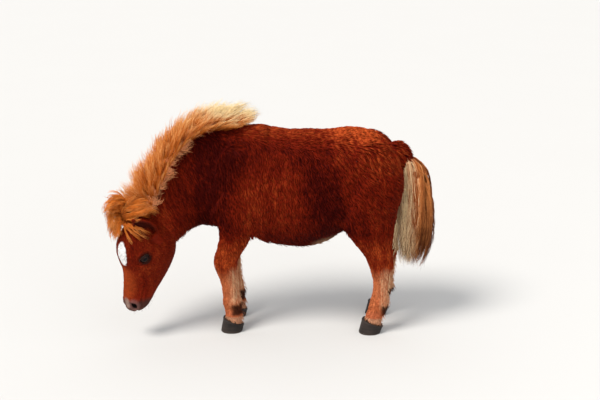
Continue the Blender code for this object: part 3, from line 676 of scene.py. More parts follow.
def opened_eyes(points):
    """Lays the skin round each eyeball as lids, and sinks it behind the opening between them."""
    for side, centre in EYES.items():
        looks, along, across = (np.array(axis) for axis in eye_axes(side))
        local = points - np.array(centre)
        u = local @ along
        v = local @ across
        w = local @ looks
        radius = np.hypot(u, v)
        opening = np.hypot(u / (OPENING_LENGTH / 2), v / (OPENING_HEIGHT / 2))
        near = (w > 0) & (radius < EYE_REACH)
        lid = np.sqrt(np.maximum((EYE_RADIUS + LID_RISE) ** 2 - radius**2, 0.0))
        sunk = np.sqrt(np.maximum((EYE_RADIUS - SOCKET_SINK) ** 2 - radius**2, 0.0))
        target = np.where(radius < EYE_RADIUS, lid, w)
        target = target + (sunk - target) * ease(opening, 1.10, 0.92)
        hold = ease(radius, EYE_RADIUS * 1.15, EYE_RADIUS * 0.80)
        crease = 0.0030 * np.exp(-(((opening - 1.75) / 0.22) ** 2)) * (v < 0.004)
        moved = w + (target - w) * hold - crease
        points = points + np.outer(np.where(near, moved - w, 0.0), looks)
    return points


def mouth_route(surface):
    half = [Vector(p) for p in MOUTH]
    route = [on_head(*p) for p in half] + [on_head(p.x, p.y, -p.z) for p in reversed(half)]
    shares = [i / MOUTH_STEPS for i in range(MOUTH_STEPS + 1)]
    return np.array([surface.find_nearest(Vector(through(route, share)))[0] for share in shares])


def nostril_axes(side):
    """The middle of a nostril, the way it opens, and the ways along and across its slit."""
    sign = SIDES[side]
    centre = on_head(NOSTRIL[0], NOSTRIL[1], NOSTRIL[2] * sign)
    opens = (DOWN * 0.25 + FACE * 0.62 + LEFT * (0.74 * sign)).normalized()
    slit = DOWN * 0.80 - FACE * 0.55
    slit = (slit - opens * slit.dot(opens)).normalized()
    return centre, opens, slit, opens.cross(slit)


def carved_face(points, surface):
    """Cuts the line of the mouth and both nostrils into the skin."""
    route = mouth_route(surface)
    head = head_places(points)
    low = np.flatnonzero(head[:, 0] > 0.18)
    gaps = np.linalg.norm(points[low][:, None, :] - route[None, :, :], axis=2).min(axis=1)
    inward = unit(np.array(on_head(0.264, 0.028)) - points[low])
    groove = GROOVE_DEPTH * np.exp(-((gaps / GROOVE_WIDTH) ** 2))
    lips = -0.0014 * np.exp(-(((gaps - 0.0085) / 0.0040) ** 2))
    points[low] += inward * (groove + lips)[:, None]
    for side in SIDES:
        centre, opens, slit, across = (np.array(v) for v in nostril_axes(side))
        local = points - centre
        u = local @ slit
        v = local @ across + 18 * u * u * SIDES[side]
        reach = np.hypot(u / NOSTRIL_RADII[1], v / NOSTRIL_RADII[0])
        near = np.abs(local @ opens) < 0.022
        hole = NOSTRIL_DEPTH * ease(reach, 1.25, 0.55)
        rim = 0.0026 * np.exp(-(((reach - 1.45) / 0.33) ** 2))
        points = points + np.outer(np.where(near, rim - hole, 0.0), opens)
    return points


def coat_lie(points, normals):
    """The way the coat lies over each point of the skin."""
    place = body_places(points)
    head = head_share(points)[:, None]
    x = place[:, 0:1]
    z = place[:, 2:3]
    upward = normals[:, 2:3]
    croup = ease(x, 0.02, 0.20) * ease(z, 0.36, 0.46)
    neck = ease(x, -0.20, -0.34) * (1 - head)
    way = np.zeros_like(points)
    way[:, 0:1] = 0.30 + 0.55 * croup + 0.25 * neck
    way[:, 2:3] = -1.0
    back = ease(upward, 0.45, 0.92)
    way = way * (1 - back) + np.array((1.0, 0.0, -0.15)) * back
    belly = ease(-upward, 0.50, 0.90) * ease(z, 0.24, 0.30)
    way = way * (1 - belly) + np.array((0.95, 0.0, -0.3)) * belly
    leg = ease(z, 0.34, 0.26)
    way = way * (1 - leg) + np.array((0.10, 0.0, -1.0)) * leg
    dock = ease(x, 0.335, 0.355)
    way = way * (1 - dock) + np.array((0.25, 0.0, -1.0)) * dock
    forward = head_places(points)[:, 1:2]
    cheek = ease(forward, 0.02, -0.05)
    way_head = np.array(DOWN) * (1 - 0.35 * cheek) - np.array(FACE) * (0.20 + 0.75 * cheek)
    way = way * (1 - head) + way_head * head
    wave = np.sin(place[:, 0] * 71 + 2.1 * np.sin(place[:, 2] * 43))
    wave = wave + np.sin(place[:, 2] * 57 + place[:, 0] * 90)
    swirl = wave[:, None] * (0.05 + 0.13 * croup) * (1 - leg) * (1 - head)
    way = unit(way) + np.cross(normals, unit(way)) * swirl
    way -= normals * np.sum(way * normals, axis=1, keepdims=True)
    return unit(way)


def tuft_sizes(points, coat):
    """The length, width and share of cover of the tufts over the skin."""
    place = body_places(points)
    on_face = head_places(points)
    head = head_share(points)
    leg = ease(place[:, 2], 0.40, 0.22)
    foot = ease(place[:, 2], 0.16, 0.06)
    croup = ease(place[:, 0], 0.02, 0.20) * ease(place[:, 2], 0.40, 0.50)
    muzzle = head * ease(on_face[:, 0], 0.185, 0.262)
    length = coat.length * (1 + 0.18 * croup) * (1 - 0.42 * leg - 0.12 * foot)
    length = length * (1 - head) + (0.0115 - 0.006 * muzzle) * head
    width = coat.width * (1 + 0.10 * croup) * (1 - 0.35 * leg)
    width = width * (1 - head) + (0.0020 - 0.0007 * muzzle) * head
    cover = np.ones(len(points)) - head * ease(on_face[:, 0], 0.262, 0.276)
    for side, centre in EYES.items():
        cover *= ease(np.linalg.norm(points - np.array(centre), axis=1), 0.0205, 0.0255)
        middle = np.array(nostril_axes(side)[0])
        cover *= ease(np.linalg.norm(points - middle, axis=1), 0.012, 0.017)
    return length, width, cover


def marked_skin(skin, coat):
    """Stores on the skin what the coat's tufts read: their lie, size and cover, and the body's regions."""
    mesh = skin.data
    points = points_of(mesh)
    normals = normals_of(mesh)
    length, width, cover = tuft_sizes(points, coat)
    set_attribute(mesh, "lie", coat_lie(points, normals), "FLOAT_VECTOR")
    set_attribute(mesh, "tuft_length", length)
    set_attribute(mesh, "tuft_width", width)
    place = body_places(points)
    head = head_share(points) > 0.5
    leg = (place[:, 2] < 0.33) & ~head
    trunk = ~head & ~leg
    regions = {
        "head": head,
        "neck": trunk & (place[:, 0] < -0.20),
        "shoulder": trunk & (place[:, 0] >= -0.20) & (place[:, 0] < -0.02),
        "flank": trunk & (place[:, 0] >= -0.02) & (place[:, 0] < 0.15),
        "quarters": trunk & (place[:, 0] >= 0.15),
        "legs": leg,
    }
    for name, inside in regions.items():
        set_attribute(mesh, f"cover_{name}", cover * inside)


def unwrapped(obj):
    """Unwraps the skin by its own shape into the map that the coat's tufts share."""
    while obj.data.uv_layers:
        obj.data.uv_layers.remove(obj.data.uv_layers[0])
    obj.data.uv_layers.new(name=BAKE_MAP)
    bpy.context.view_layer.objects.active = obj
    for other in bpy.context.selected_objects:
        other.select_set(False)
    obj.select_set(True)
    bpy.ops.object.mode_set(mode="EDIT")
    bpy.ops.mesh.select_all(action="SELECT")
    bpy.ops.uv.smart_project(angle_limit=math.radians(70), island_margin=0.002)
    bpy.ops.object.mode_set(mode="OBJECT")


class FOAL_OT_skin(bpy.types.Operator):
    """Makes the one skin that the coat grows on"""

    bl_idname = "foal.skin"
    bl_label = "Skin"

    def execute(self, context):
        coat = chosen("foal_coat")
        skull = [(on_head(d, front), on_head(d, back), width) for d, front, back, width in SKULL]
        forms = [merged_copy(node, node + "_form") for node in PLAIN_FLESH]
        forms.append(loft("neck_form", neck_rows(), rings=60, sides=48, square=2.1, narrow_top=0.22))
        forms.append(loft("skull_form", skull, rings=80, sides=48, square=2.25, narrow_top=-0.04))
        forms.append(loft("dock_form", dock_rows(), rings=30, sides=20))
        skin = joined(SKIN, forms + neck_base() + face_forms())
        remesh = skin.modifiers.new("one_surface", "REMESH")
        remesh.mode = "VOXEL"
        remesh.voxel_size = coat.voxel
        settled(skin)
        share = 1 - 0.30 * head_share(points_of(skin.data))
        points = softened(skin.data, SOFTENING_ROUNDS, share)
        set_points(skin.data, points)
        surface = BVHTree.FromObject(skin, context.evaluated_depsgraph_get())
        points -= normals_of(skin.data) * skin_depth(points, coat.depth)[:, None]
        set_points(skin.data, carved_face(opened_eyes(points), surface))
        thinned(skin)
        unwrapped(skin)
        marked_skin(skin, coat)
        finished(skin, coat_material("skin_coat", False), "coat", *FLESH)
        return {"FINISHED"}


def thinned(skin):
    """Merges the skin's faces away from the head until it is light enough."""
    group = skin.vertex_groups.new(name="merge_freely")
    on_the_head = head_share(points_of(skin.data)) > 0.2
    group.add(np.flatnonzero(on_the_head).tolist(), 0.0, "REPLACE")
    group.add(np.flatnonzero(~on_the_head).tolist(), 1.0, "REPLACE")
    skin.data.calc_loop_triangles()
    fewer = skin.modifiers.new("fewer", "DECIMATE")
    fewer.ratio = min(1.0, SKIN_TRIANGLES / len(skin.data.loop_triangles))
    fewer.use_collapse_triangulate = True
    fewer.vertex_group = group.name
    fewer.vertex_group_factor = 0.02
    settled(skin)
    skin.vertex_groups.clear()


# Coat materials

# Where the coat is brighter or darker, partly its own tone and partly painted highlight and painted shade:
# place along and above the body, its reach, and by how much
TONE_AND_PAINTED_LIGHT = [
    ((-0.10, 0.46), (0.13, 0.15), 0.23),
    ((0.27, 0.46), (0.09, 0.16), 0.15),
    ((0.22, 0.64), (0.13, 0.09), 0.12),
    ((0.07, 0.50), (0.06, 0.12), -0.20),
    ((-0.30, 0.54), (0.11, 0.20), -0.18),
]

# Patches on the head: place as in STAR, the three radii, softness, strength and colour
# A painted highlight down the ridge of the nose
RIDGE_HIGHLIGHT = ((0.205, 0.075, 0.0), (0.060, 0.035, 0.040), 0.9, 0.45, (190, 84, 36))
MUZZLE_PATCHES = [
    ((0.274, 0.082, 0.010), (0.019, 0.024, 0.013), 0.7, 0.80, (150, 124, 112)),
    ((0.300, 0.050, 0.0), (0.010, 0.030, 0.040), 0.8, 0.35, (120, 88, 76)),
    ((0.262, -0.012, 0.0), (0.024, 0.014, 0.030), 0.8, 0.35, (122, 60, 34)),
]


def coat_colour(shading, tufts):
    """The coat's colour with its markings, painted highlights and painted shade, the same on the skin and on
    every tuft.
    """
    coat = chosen("foal_coat")
    x = shading.distance_along(ORIGIN, (1, 0, 0))
    z = shading.distance_along(ORIGIN, (0, 0, 1))
    head = x.between(-0.330, -0.350)
    broad = shading.noise(4.5, detail=2.0).between(0.32, 0.70)
    streak = shading.noise(55.0, detail=2.0, stretch=(1.0, 1.0, 0.10)).between(0.28, 0.78)
    bright = 0.06 + broad * 0.14 + streak * 0.18
    # Painted highlights on the ribs, thigh and croup and painted shade on the flank and the neck's base,
    # mixed with the coat's own tone
    for (along, above), (length, height), amount in TONE_AND_PAINTED_LIGHT:
        bright = bright + shading.spot(on_body(along, 0.0, above), (length, 0.5, height), 0.9) * amount
    # A painted highlight along the top of the back
    bright = bright + z.between(0.63, 0.70) * x.between(-0.26, -0.12) * 0.44
    # Lighter low on the body except under the belly between the legs, where painted shade darkens it
    under = x.between(-0.145, -0.105) * x.between(0.165, 0.115)
    bright = bright + z.between(0.37, 0.30) * (1 - head) * (1 - under) * 0.42
    bright = bright - z.between(0.41, 0.33) * under * 0.10
    bright = bright + head * 0.20
    croup = x.between(0.02, 0.14) * z.between(0.50, 0.62)
    clump = shading.noise(34.0, detail=2.0, stretch=(1.0, 1.0, 0.55)) - 0.5
    bright = bright + clump * (0.30 + 0.30 * croup)
    slant = shading.distance_along(ORIGIN, (0.80, 0.0, 0.60)) * 430 + clump * 15
    bright = bright + slant.maths("SINE") * croup * 0.11
    if tufts:
        bright = bright + shading.reading("tint") * 0.34 - 0.16
        bright = bright + shading.reading("along") * (0.20 + 0.25 * croup) - 0.09
    colour = shading.mix(bright.between(0.0, 0.45), coat.deep, coat.warm)
    colour = shading.mix(bright.between(0.40, 1.10), colour, coat.bright)
    colour = leg_colour(shading, coat, colour, x, z, head)
    belly = shading.spot(on_body(0.105, 0.0, 0.318), (0.075, 0.12, 0.030), 0.7)
    colour = shading.mix(belly * 0.40, colour, coat.pale)
    return face_colour(shading, coat, colour, head)


def leg_colour(shading, coat, colour, x, z, head):
    """Pinkish tan cannons with pale hair behind, and painted shade in the hollow behind each fetlock."""
    jag = (shading.noise(26.0, stretch=(1.0, 1.0, 0.35)) - 0.5) * 0.09
    wisps = shading.noise(150.0, detail=2.0, stretch=(1.0, 1.0, 0.08)).between(0.38, 0.66)
    level = z + jag
    front_half = x.between(0.02, -0.02)
    behind = x.between(-0.250, -0.210) * front_half + x.between(0.252, 0.292) * (1 - front_half)
    low = level.between(0.250, 0.170) * (1 - head)
    colour = shading.mix(low * (0.62 + 0.36 * wisps), colour, coat.leg)
    cream = level.between(0.240, 0.200) * level.between(0.080, 0.115) * behind * (1 - head)
    colour = shading.mix(cream * (0.25 + 0.70 * wisps), colour, coat.pale)
    pastern = z.between(0.092, 0.070) * (1 - head)
    colour = shading.mix(pastern * 0.60, colour, linear(186, 102, 68))
    # Painted shade in the hollow behind each fetlock
    fetlock_shade = z.between(0.108, 0.094) * z.between(0.058, 0.068) * (behind - 0.2).between(0.0, 0.7) * (1 - head)
    colour = shading.mix(fetlock_shade * 0.90, colour, linear(38, 14, 8))
    coronet = z.between(0.060, 0.053) * (1 - head)
    return shading.mix(coronet * 0.55, colour, linear(196, 158, 126))


def face_colour(shading, coat, colour, head):
    """The white star, a painted highlight on the nose's ridge, the dark lips and nostrils, painted shade deep
    in each nostril, and the rims of the eyes.
    """
    down = shading.distance_along(POLL, DOWN)
    ahead = shading.distance_along(POLL, FACE)
    wear = (shading.noise(70.0, detail=2.0) - 0.5) * 0.014
    # Painted highlight on the nose's ridge
    colour = patched(shading, colour, RIDGE_HIGHLIGHT)
    nose = (down + wear).between(0.254, 0.276) * (down - ahead * 0.35).between(0.205, 0.235)
    colour = shading.mix(nose * head * 0.92, colour, coat.muzzle)
    for patch in MUZZLE_PATCHES:
        colour = patched(shading, colour, patch)
    star_wear = (shading.noise(160.0, detail=2.0) - 0.5) * 0.006
    colour = shading.mix(star_shape(shading, star_wear), colour, coat.star)
    for side, centre in EYES.items():
        rim = shading.spot(centre, (EYE_RADIUS * 1.42,) * 3, 0.34)
        colour = shading.mix(rim * 0.66, colour, linear(38, 11, 7))
        middle, opens, slit, across = nostril_axes(side)
        ring = shading.spot(middle, (0.020, 0.022, 0.018), 0.5, (opens, slit, across))
        colour = shading.mix(ring * 0.45, colour, linear(128, 92, 86))
        # Painted shade deep inside each carved nostril
        hole = shading.spot(middle - opens * 0.004, (0.014, 0.014, 0.0095), 0.4, (opens, slit, across))
        colour = shading.mix(hole, colour, linear(10, 6, 6))
    return colour


def patched(shading, colour, patch):
    """The colour with one soft patch of another on the head."""
    place, radii, soft, strength, other = patch
    spot = shading.spot(on_head(*place), radii, soft, HEAD_AXES)
    return shading.mix(spot * strength, colour, linear(*other))


def star_shape(shading, wear):
    """The narrow white star, longer than it is wide, high on the face."""
    along = (shading.distance_along(on_head(*STAR), DOWN) + wear) / STAR_RADII[0]
    aside = (shading.distance_along(on_head(*STAR), LEFT) + wear) / STAR_RADII[1]
    front = shading.distance_along(POLL, FACE).between(0.040, 0.052)
    return (along * along + aside * aside).between(1.15, 0.80) * front


def coat_material(name, tufts, shaded_cup=False):
    shading = Shading(name)
    colour = coat_colour(shading, tufts)
    if shaded_cup:
        # Painted shade in the ear's cup, darkest deep inside it
        colour = shading.mix(shading.reading("cup") * 0.80, colour, linear(34, 13, 10))
    hairs = shading.noise(420.0, detail=2.0, stretch=(1.0, 1.0, 0.10))
    rough = 0.56 + 0.20 * shading.noise(40.0, detail=1.0)
    normal = shading.bump(hairs, 0.0008, 0.5 if tufts else 0.9)
    return shading.surface(Base_Color=colour, Roughness=rough, Normal=normal, Specular_IOR_Level=0.04)


# Coat tufts

# Rings of a tuft: place along it, height above the skin and width, as shares of its size
TUFT_RINGS = [(-0.06, -0.50, 0.85), (0.45, 0.62, 1.00)]
TUFT_TIP = (1.0, 0.40)
TUFT_BENDS = (-0.9, -0.3, 0.3, 0.9)
# How far a tuft reaches over the skin's unwrap, and how far its lie strays
PATCH = 0.003
JITTER = 0.22


def tuft_object(number, bend):
    """One closed tuft that starts at its root and lies along +X."""
    vertices = []
    along = []
    side = []
    for x, z, wide in TUFT_RINGS:
        aside = bend * x * abs(x)
        vertices += [(x, aside + wide / 2, z), (x, aside - wide / 2, z), (x, aside, z + 0.40 * wide)]
        along += [max(x, 0.0)] * 3
        side += [0.0, 1.0, 0.5]
    vertices.append((TUFT_TIP[0], bend * TUFT_TIP[0] ** 2, TUFT_TIP[1]))
    along.append(1.0)
    side.append(0.5)
    tip = len(vertices) - 1
    faces = [(0, 2, 1)]
    for first in range(0, tip - 3, 3):
        for k in range(3):
            a = first + k
            b = first + (k + 1) % 3
            faces.append((a, b, b + 3, a + 3))
    faces += [(tip - 3 + k, tip - 3 + (k + 1) % 3, tip) for k in range(3)]
    mesh = bpy.data.meshes.new(f"tuft_{number}")
    mesh.from_pydata(vertices, [], faces)
    set_attribute(mesh, "along", np.array(along))
    set_attribute(mesh, "side", np.array(side))
    return face_outwards(bpy.data.objects.new(f"tuft_{number}", mesh))


class Growth(Nodes):
    """A Geometry Nodes tree and the few steps that it is built from."""

    def __init__(self, name):
        self.tree = bpy.data.node_groups.new(name, "GeometryNodeTree")
        self.sockets = {}
        self.entry = self.tree.nodes.new("NodeGroupInput")
        self.leave = self.tree.nodes.new("NodeGroupOutput")

    def asks(self, name, kind):
        socket = self.tree.interface.new_socket(name, in_out="INPUT", socket_type=kind)
        self.sockets[name] = socket.identifier
        return self.entry.outputs[name]

    def reads(self, name, kind="FLOAT"):
        return self.node("GeometryNodeInputNamedAttribute", {"data_type": kind}, {"Name": name})

    def stores(self, geometry, name, value, kind="FLOAT", domain="POINT"):
        settings = {"data_type": kind, "domain": domain}
        inputs = {"Geometry": geometry, "Name": name, "Value": value}
        return self.node("GeometryNodeStoreNamedAttribute", settings, inputs)

    def random(self, low, high, seed):
        inputs = {"Min_001": low, "Max_001": high, "Seed": seed}
        node = self.tree.nodes.new("FunctionNodeRandomValue")
        for socket in node.inputs:
            if socket.identifier in inputs:
                socket.default_value = inputs[socket.identifier]
        return next(s for s in node.outputs if s.enabled)

    def maths(self, operation, first, second):
        return self.node("ShaderNodeMath", {"operation": operation}, {0: first, 1: second})

    def vectors(self, operation, first, second):
        return self.node("ShaderNodeVectorMath", {"operation": operation}, {0: first, 1: second})

    def together(self, x, y, z):
        return self.node("ShaderNodeCombineXYZ", None, {0: x, 1: y, 2: z})


def coat_tree():
    """Tufts spread over the skin, laid along its coat, realized, with their roots' places on its unwrap."""
    grow = Growth("coat_tufts")
    grow.tree.interface.new_socket("Geometry", in_out="OUTPUT", socket_type="NodeSocketGeometry")
    skin = grow.asks("Geometry", "NodeSocketGeometry")
    tufts = grow.asks("Tufts", "NodeSocketCollection")
    cover = grow.asks("Cover", "NodeSocketString")
    density = grow.asks("Density", "NodeSocketFloat")
    seed = grow.asks("Seed", "NodeSocketInt")
    lift = grow.asks("Lift", "NodeSocketFloat")
    material = grow.asks("Material", "NodeSocketMaterial")
    share = grow.reads(cover)
    spread = {"Mesh": skin, "Density": grow.maths("MULTIPLY", share, density), "Seed": seed}
    points = grow.node("GeometryNodeDistributePointsOnFaces", {"distribute_method": "RANDOM"}, spread)
    normal = points.node.outputs["Normal"]
    points = grow.stores(points, "root_place", grow.reads(BAKE_MAP, "FLOAT_VECTOR"), "FLOAT_VECTOR")
    points = grow.node("GeometryNodeRemoveAttribute", None, {"Geometry": points, "Name": BAKE_MAP})
    points = grow.stores(points, "tint", grow.random(0.0, 1.0, 1))
    jitter = grow.together(*(grow.random(-JITTER, JITTER, number) for number in (2, 3, 4)))
    lie = grow.vectors("ADD", grow.reads("lie", "FLOAT_VECTOR"), jitter)
    axes = {"primary_axis": "Z", "secondary_axis": "X"}
    turn = grow.node("FunctionNodeAxesToRotation", axes, {0: normal, 1: lie})
    length = grow.maths("MULTIPLY", grow.reads("tuft_length"), grow.random(0.70, 1.20, 5))
    width = grow.maths("MULTIPLY", grow.reads("tuft_width"), grow.random(0.70, 1.30, 6))
    rise = grow.maths("MULTIPLY", grow.maths("MULTIPLY", length, lift), grow.random(0.60, 1.25, 7))
    inputs = {"Points": points, "Rotation": turn, "Scale": grow.together(length, width, rise)}
    choice = {"Collection": tufts, "Separate Children": True, "Reset Children": True}
    inputs["Instance"] = grow.node("GeometryNodeCollectionInfo", None, choice)
    inputs["Pick Instance"] = True
    placed = grow.node("GeometryNodeInstanceOnPoints", None, inputs)
    real = grow.node("GeometryNodeRealizeInstances", None, {"Geometry": placed})
    reaches = [grow.maths("MULTIPLY", grow.reads(key), PATCH) for key in ("along", "side")]
    across = grow.together(*reaches, 0.0)
    patch = grow.vectors("ADD", grow.reads("root_place", "FLOAT_VECTOR"), across)
    real = grow.stores(real, BAKE_MAP, patch, "FLOAT2", "CORNER")
    for name in ("root_place", "lie", "tuft_length", "tuft_width", "side"):
        real = grow.node("GeometryNodeRemoveAttribute", None, {"Geometry": real, "Name": name})
    real = grow.node("GeometryNodeSetMaterial", None, {"Geometry": real, "Material": material})
    grow.tree.links.new(real, grow.leave.inputs[0])
    return grow


def coat_piece(grow, name, values, material):
    """The tufts of one region of the skin, as a plain mesh."""
    skin = bpy.data.objects[SKIN]
    piece = link(name, skin.data.copy())
    growth = piece.modifiers.new("coat", "NODES")
    growth.node_group = grow.tree
    for key, value in values.items():
        growth[grow.sockets[key]] = value
    settled(piece)
    for layer in [a.name for a in piece.data.attributes if a.name.startswith("cover_")]:
        piece.data.attributes.remove(piece.data.attributes[layer])
    return finished(piece, material, "coat")


# Region of the coat, tufts for each tuft of the body's density, and how far they stand up
COAT_REGIONS = {
    "head": (2.30, 0.10),
    "neck": (1.00, 0.13),
    "shoulder": (1.00, 0.12),
    "flank": (1.00, 0.12),
    "quarters": (1.00, 0.15),
    "legs": (1.25, 0.12),
}


class FOAL_OT_coat(bpy.types.Operator):
    """Grows the short coat over the skin, one piece for each region of the body"""

    bl_idname = "foal.coat"
    bl_label = "Coat"

    def execute(self, context):
        coat = chosen("foal_coat")
        grow = coat_tree()
        tufts = bpy.data.collections.new("tufts")
        for number, bend in enumerate(TUFT_BENDS):
            tufts.objects.link(tuft_object(number, bend))
        material = coat_material("tuft_coat", True)
        for number, (region, (share, lift)) in enumerate(COAT_REGIONS.items()):
            values = {
                "Tufts": tufts,
                "Cover": f"cover_{region}",
                "Density": coat.density * share,
                "Seed": SEED + number,
                "Lift": lift,
                "Material": material,
            }
            coat_piece(grow, f"coat_{region}", values, material)
        for obj in list(tufts.objects):
            drop(obj)
        bpy.data.collections.remove(tufts)
        return {"FINISHED"}


# Long hair


def curves_through(points, steps):
    """Smooth curves through rows of points, from (curves, points, 3) to (curves, steps, 3)."""
    last = points.shape[1] - 1
    shares = np.linspace(0, last, steps)
    i = np.minimum(shares.astype(int), last - 1)
    t = (shares - i)[None, :, None]
    a = points[:, np.maximum(i - 1, 0)]
    b = points[:, i]
    c = points[:, i + 1]
    d = points[:, np.minimum(i + 2, last)]
    return b + 0.5 * ((c - a) * t + (2 * a - 5 * b + 4 * c - d) * t**2 + (3 * b - a - 3 * c + d) * t**3)


def smooth_guides(guides, facings, steps):
    return curves_through(np.array(guides, float), steps), np.array(facings)[:, None, :]


def across_curves(paths, facing):
    """The two ways across each curve at each of its points: flat, and towards facing."""
    along = unit(np.gradient(paths, axis=1))
    flat = unit(np.cross(along, facing))
    return flat, np.cross(flat, along)


def clumped(guides, facing, rng, count, root, tip, wave=0.0, turns=2.0, frizz=0.0015, short=0.25):
    """Strands that follow each guide, apart by root at its start and by tip at its end."""
    total, steps = guides.shape[:2]
    flat, rise = across_curves(guides, facing)
    index = np.repeat(np.arange(total), count)
    strands = len(index)
    share = np.linspace(0, 1, steps)[None, :]
    angle = rng.uniform(0, 2 * math.pi, strands)[:, None]
    radius = np.sqrt(rng.uniform(0, 1, strands))[:, None]
    apart = radius * (root * (1 - share) + tip * share)
    phase = rng.uniform(0, 2 * math.pi, total)[index][:, None] + rng.normal(0, 0.35, strands)[:, None]
    bend = wave * share * np.sin(phase + 2 * math.pi * turns * share)
    stray = rng.normal(0, 1, (strands, 1)) * frizz * share * 2
    stray = stray + frizz * share * np.sin(rng.uniform(0, 6.3, (strands, 1)) + 9 * share)
    ends = rng.uniform(1 - short, 1.0, strands)
    at = share * ends[:, None] * (steps - 1)
    low = np.minimum(at.astype(int), steps - 2)
    part = (at - low)[..., None]
    rows = index[:, None]
    middle = guides[rows, low] * (1 - part) + guides[rows, low + 1] * part
    side = unit(flat[rows, low] * (1 - part) + flat[rows, low + 1] * part)
    lift = unit(rise[rows, low] * (1 - part) + rise[rows, low + 1] * part)
    offset = np.cos(angle) * apart + bend + stray
    height = np.abs(np.sin(angle)) * apart * 0.75 + 0.4 * bend
    return middle + side * offset[..., None] + lift * height[..., None], lift


def skin_places(points):
    """Where each root lies on the skin's unwrap."""
    skin = bpy.data.objects[SKIN]
    mesh = skin.data
    tree = BVHTree.FromObject(skin, bpy.context.evaluated_depsgraph_get())
    places = np.empty(len(mesh.loops) * 2, np.float32)
    mesh.uv_layers[BAKE_MAP].data.foreach_get("uv", places)
    places = places.reshape(-1, 2)
    found = []
    for point in points:
        face = mesh.polygons[tree.find_nearest(Vector(point))[2]]
        start = face.loop_start
        found.append(places[start : start + face.loop_total].mean(axis=0))
    return np.array(found)


def strand_piece(name, paths, facing, widths, tints, material, slot="long_hair", thick=0.6):
    """Closed, tapering strands along the paths, joined into one mesh."""
    strands, steps = paths.shape[:2]
    flat, rise = across_curves(paths, facing)
    share = np.linspace(0, 1, steps)
    taper = np.minimum(1.0, 0.55 + 2.2 * share) * np.sqrt(np.maximum(1.0 - share**2.2, 0.0))
    half = (widths[:, None] / 2 * taper[None, :])[..., None]
    rings = np.stack((paths + flat * half, paths - flat * half, paths + rise * half * 2 * thick), axis=2)
    body = rings[:, :-1].reshape(strands, -1, 3)
    vertices = np.concatenate((body, paths[:, -1:]), axis=1)
    size = vertices.shape[1]
    tip = size - 1
    quads = []
    for first in range(0, tip - 3, 3):
        for k in range(3):
            quads.append((first + k, first + (k + 1) % 3, first + 3 + (k + 1) % 3, first + 3 + k))
    ends = [(tip - 3 + k, tip - 3 + (k + 1) % 3, tip) for k in range(3)] + [(0, 2, 1)]
    starts = (np.arange(strands) * size)[:, None, None]
    corners = np.concatenate(
        ((np.array(quads)[None] + starts).reshape(-1), (np.array(ends)[None] + starts).reshape(-1))
    )
    counts = np.concatenate((np.full(strands * len(quads), 4), np.full(strands * len(ends), 3)))
    mesh = bpy.data.meshes.new(name)
    mesh.vertices.add(strands * size)
    mesh.vertices.foreach_set("co", vertices.astype(np.float32).ravel())
    mesh.loops.add(len(corners))
    mesh.loops.foreach_set("vertex_index", corners.astype(np.int32))
    mesh.polygons.add(len(counts))
    mesh.polygons.foreach_set("loop_start", np.concatenate(((0,), np.cumsum(counts)[:-1])).astype(np.int32))
    mesh.polygons.foreach_set("loop_total", counts.astype(np.int32))
    mesh.update(calc_edges=True)
    along = np.concatenate((np.repeat(share[:-1], 3), (1.0,)))
    side = np.concatenate((np.tile((0.0, 1.0, 0.5), steps - 1), (0.5,)))
    set_attribute(mesh, "along", np.tile(along, strands))
    set_attribute(mesh, "tint", np.repeat(tints, size))
    roots = np.repeat(skin_places(paths[:, 0]), size, axis=0)
    spots = roots + PATCH * np.stack((np.tile(side, strands), np.tile(along, strands)), axis=1)
    layer = mesh.uv_layers.new(name=BAKE_MAP)
    layer.data.foreach_set("uv", spots[corners].astype(np.float32).ravel())
    return finished(face_outwards(link(name, mesh)), material, slot)


def hair_surface(shading, colour):
    rough = 0.46 + 0.2 * shading.noise(90.0, detail=1.0)
    return shading.surface(Base_Color=colour, Roughness=rough, Specular_IOR_Level=0.12)


def hair_material(name, tips, pale=1.0, early=0.0, spread=1.0):
    """Long hair from dark roots to pale tips, palest at the withers.

    pale is the strength of the tips' colour, early brings it nearer to the roots, and spread is how much
    paler the hair gets towards the withers.
    """
    hair = chosen("foal_hair")
    shading = Shading(name)
    along = shading.reading("along")
    tint = shading.reading("tint")
    back = shading.distance_along(on_body(-0.40, 0, 0.66), (0.85, 0, 0.52))
    level = shading.distance_along(on_body(-0.25, 0, 0.700), (0, 0, 1))
    slope = shading.distance_along(on_body(-0.33, 0, 0.690), (-0.50, 0, 0.86))
    high = level.largest(slope).between(0.010, 0.055)
    withers = back.between(-0.05, 0.22) * spread * (0.45 + 0.55 * high)
    colour = shading.mix((along * 0.9 + tint * 0.35 - 0.06).between(0.05, 0.70), hair.root, hair.middle)
    tip = (along * 0.75 + tint * 0.65 - 0.72 + early + withers * 0.45).between(0.0, 0.70)
    colour = shading.mix(tip * (0.85 * pale), colour, tips)
    cream = (along * 0.7 + tint * 0.35 + withers - 1.08).between(0.0, 0.6)
    colour = shading.mix(cream * (0.95 * pale), colour, hair.cream)
    return hair_surface(shading, shading.mix(tint.between(0.26, 0.0) * 0.60, colour, hair.brown))


